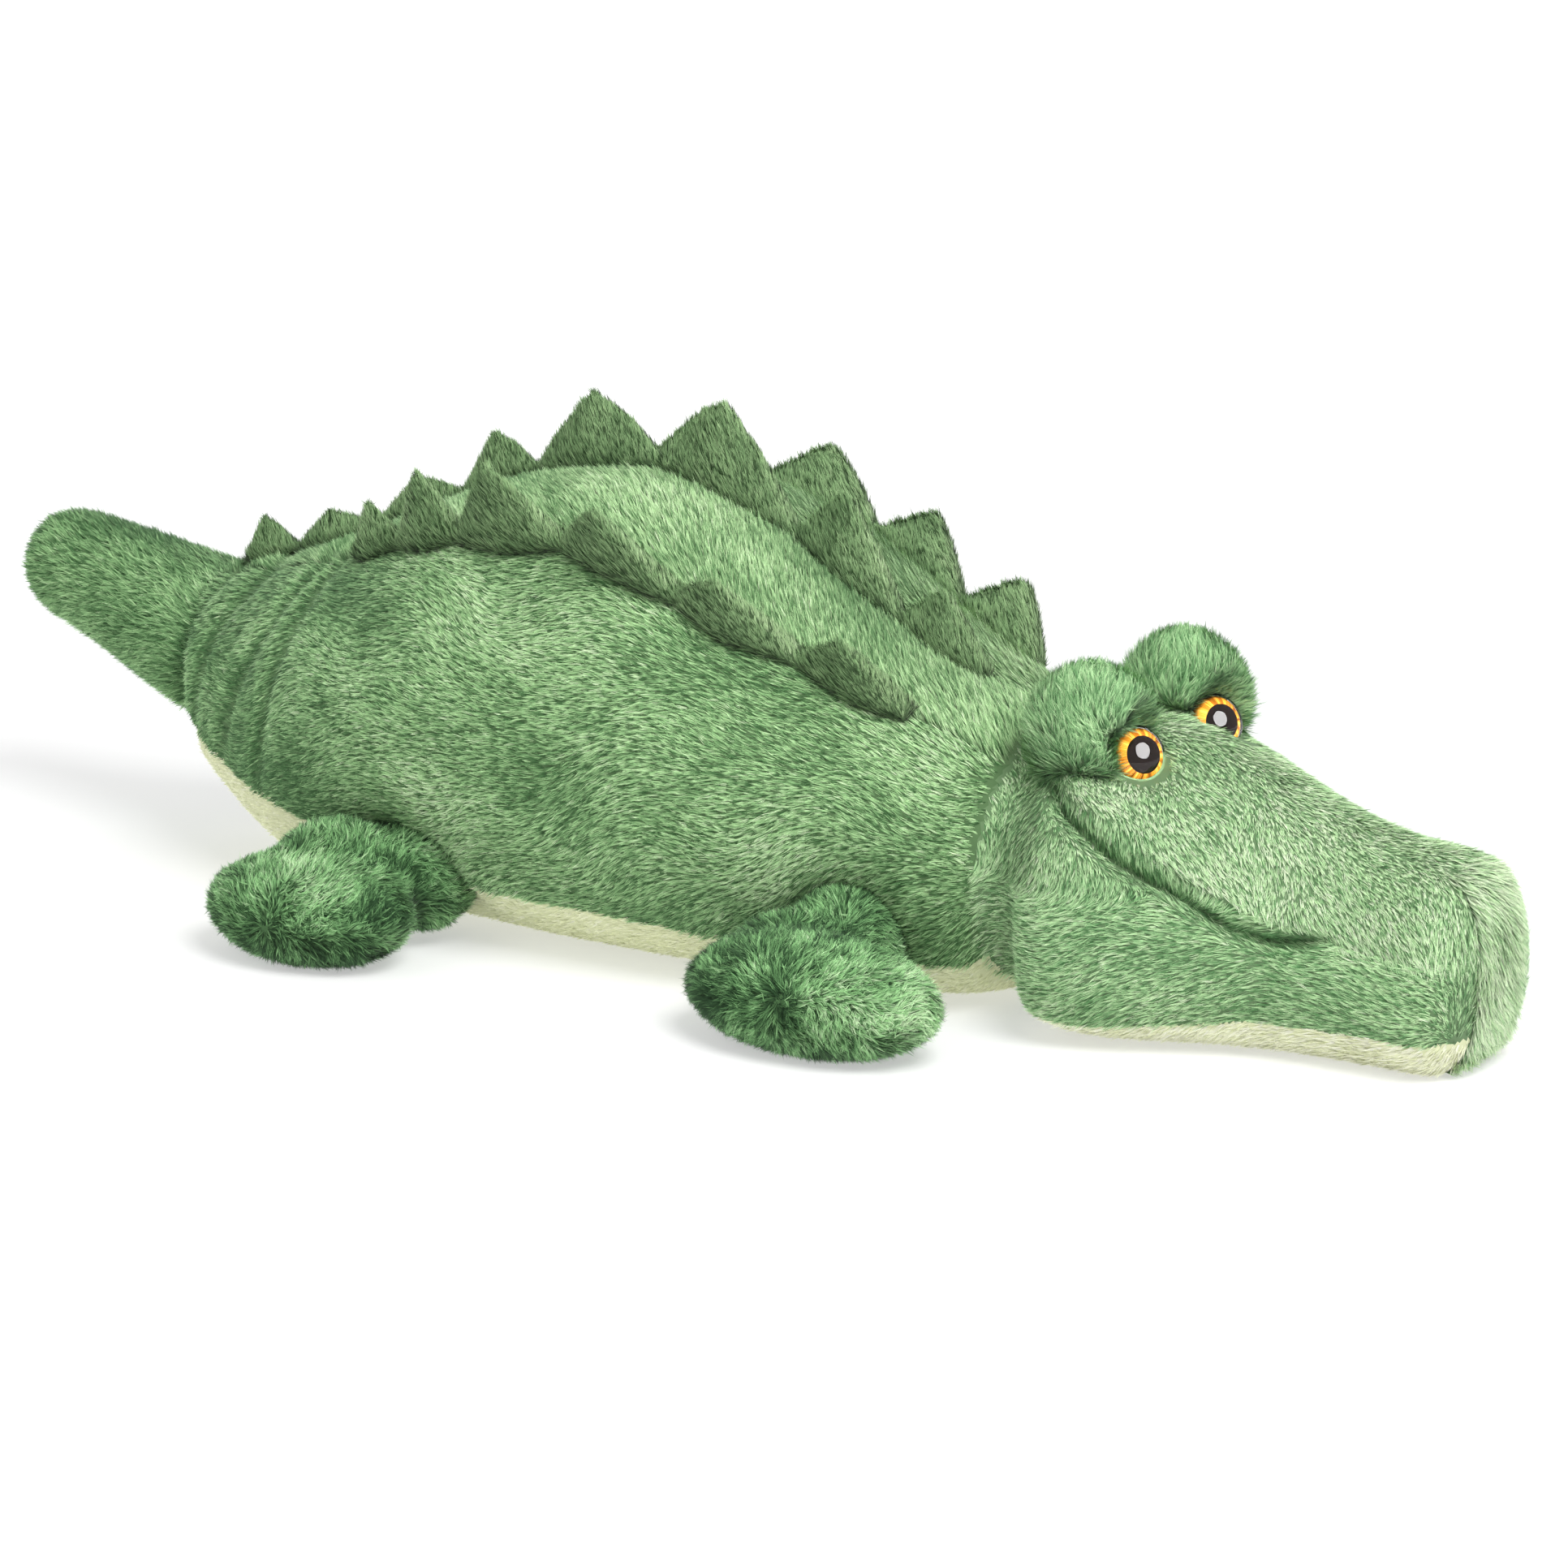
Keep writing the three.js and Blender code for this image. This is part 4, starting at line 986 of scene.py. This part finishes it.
def iris_look():
    """Amber foil with streaks that run out from the pupil to a dark rim."""
    look = Look("amber_foil", Roughness=0.5, Specular_IOR_Level=0.0)
    place = look.node("ShaderNodeUVMap", {"uv_map": "face"})
    radius = look.length_of(place)
    around = look.node("ShaderNodeVectorMath", {"operation": "NORMALIZE"}, {0: place}, "Vector")
    streaks = look.noise(3.2, 5, 0.8, around)
    foil = look.ramp(streaks, (0.38, srgb(56, 26, 6)), (0.47, srgb(158, 92, 22)),
                     (0.55, srgb(214, 146, 46)), (0.66, srgb(255, 222, 120)))
    share = radius * (1 / LENS_RADIUS)
    rim = look.ramp(share, (0.63, (1.6,) * 3), (0.68, (1.0,) * 3), (0.84, (0.85,) * 3),
                    (0.93, (0.12,) * 3))
    return look.paint(Base_Color=look.multiplied(foil, rim))


def dome(radius, rise, base):
    """Profile of a dome from its rim to its top."""
    turns = np.linspace(0, math.pi / 2, DOME_STEPS)[:-1]
    return [*((radius * math.cos(t), base + rise * math.sin(t)) for t in turns), (0, base + rise)]


def make_eyes():
    clear = clear_look()
    foil = iris_look()
    black = plain_look("black_plastic", srgb(16, 10, 8), 0.6, specular=0.0)
    white = plain_look("white_plastic", srgb(214, 212, 206), 0.45)

    lens = [(0, LENS_FLOOR), (LENS_RADIUS, LENS_FLOOR), *dome(LENS_RADIUS, LENS_RISE, LENS_BASE)]
    outer = [point for point in dome(FOIL_RADIUS, FOIL_RISE, FOIL_BASE) if point[0] > PUPIL_RADIUS]
    inner = [(radius, height - FOIL_THICKNESS) for radius, height in reversed(outer)]
    iris = [*outer, *inner, outer[0]]
    cap = [point for point in dome(FOIL_RADIUS, PUPIL_RISE, FOIL_BASE)
           if point[0] < PUPIL_RADIUS + PUPIL_OVERLAP]
    under = cap[0][1] - FOIL_THICKNESS
    pupil = [*cap, (0, under), (cap[0][0], under), cap[0]]
    parts = [
        ("lens", "clear", lens, clear, "eye_clear"),
        ("iris", "foil", iris, foil, "eye_foil"),
        ("pupil", "disc", pupil, black, "eye_black"),
        ("plate", "cup", PLATE, black, "eye_black"),
    ]
    for side, sign in SIDES.items():
        place = eye_matrix(sign)
        for part, form, profile, look, slot in parts:
            node = f"eye_{part}_{side}"
            turned(f"{node}_{form}", profile, place, look, node)
        washer = nodes[f"eye_washer_{side}"]
        washer.data.materials.clear()
        washer.data.materials.append(white)


STUFFING_INSET = 2.5


def fill_inside():
    """Stuffing of each body, drawn in a little from its cloth, and the bag of pellets."""
    fibre = fibre_look()
    for body in ("trunk", "tail", "head"):
        filling = cloth_over(f"{body}_stuffing", [f"{body}_filling"], GRAIN, STUFFING_ROUNDS)
        crease_body(filling.data, STUFFING_INSET)
        leave_room_at_joints(filling.data)
        filling.data.materials.append(fibre)
        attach(filling, body)
        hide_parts(f"{body}_filling")
    bag = cloth_over("pellet_bag_filled", ["pellet_bag"], GRAIN, BAG_ROUNDS)
    bag.data.materials.append(pellet_look())
    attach(bag, "trunk")
    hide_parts("pellet_bag")


make_camera()
make_stage()
make_lights()
cover_body()
cover_limbs()
make_eyes()
fill_inside()
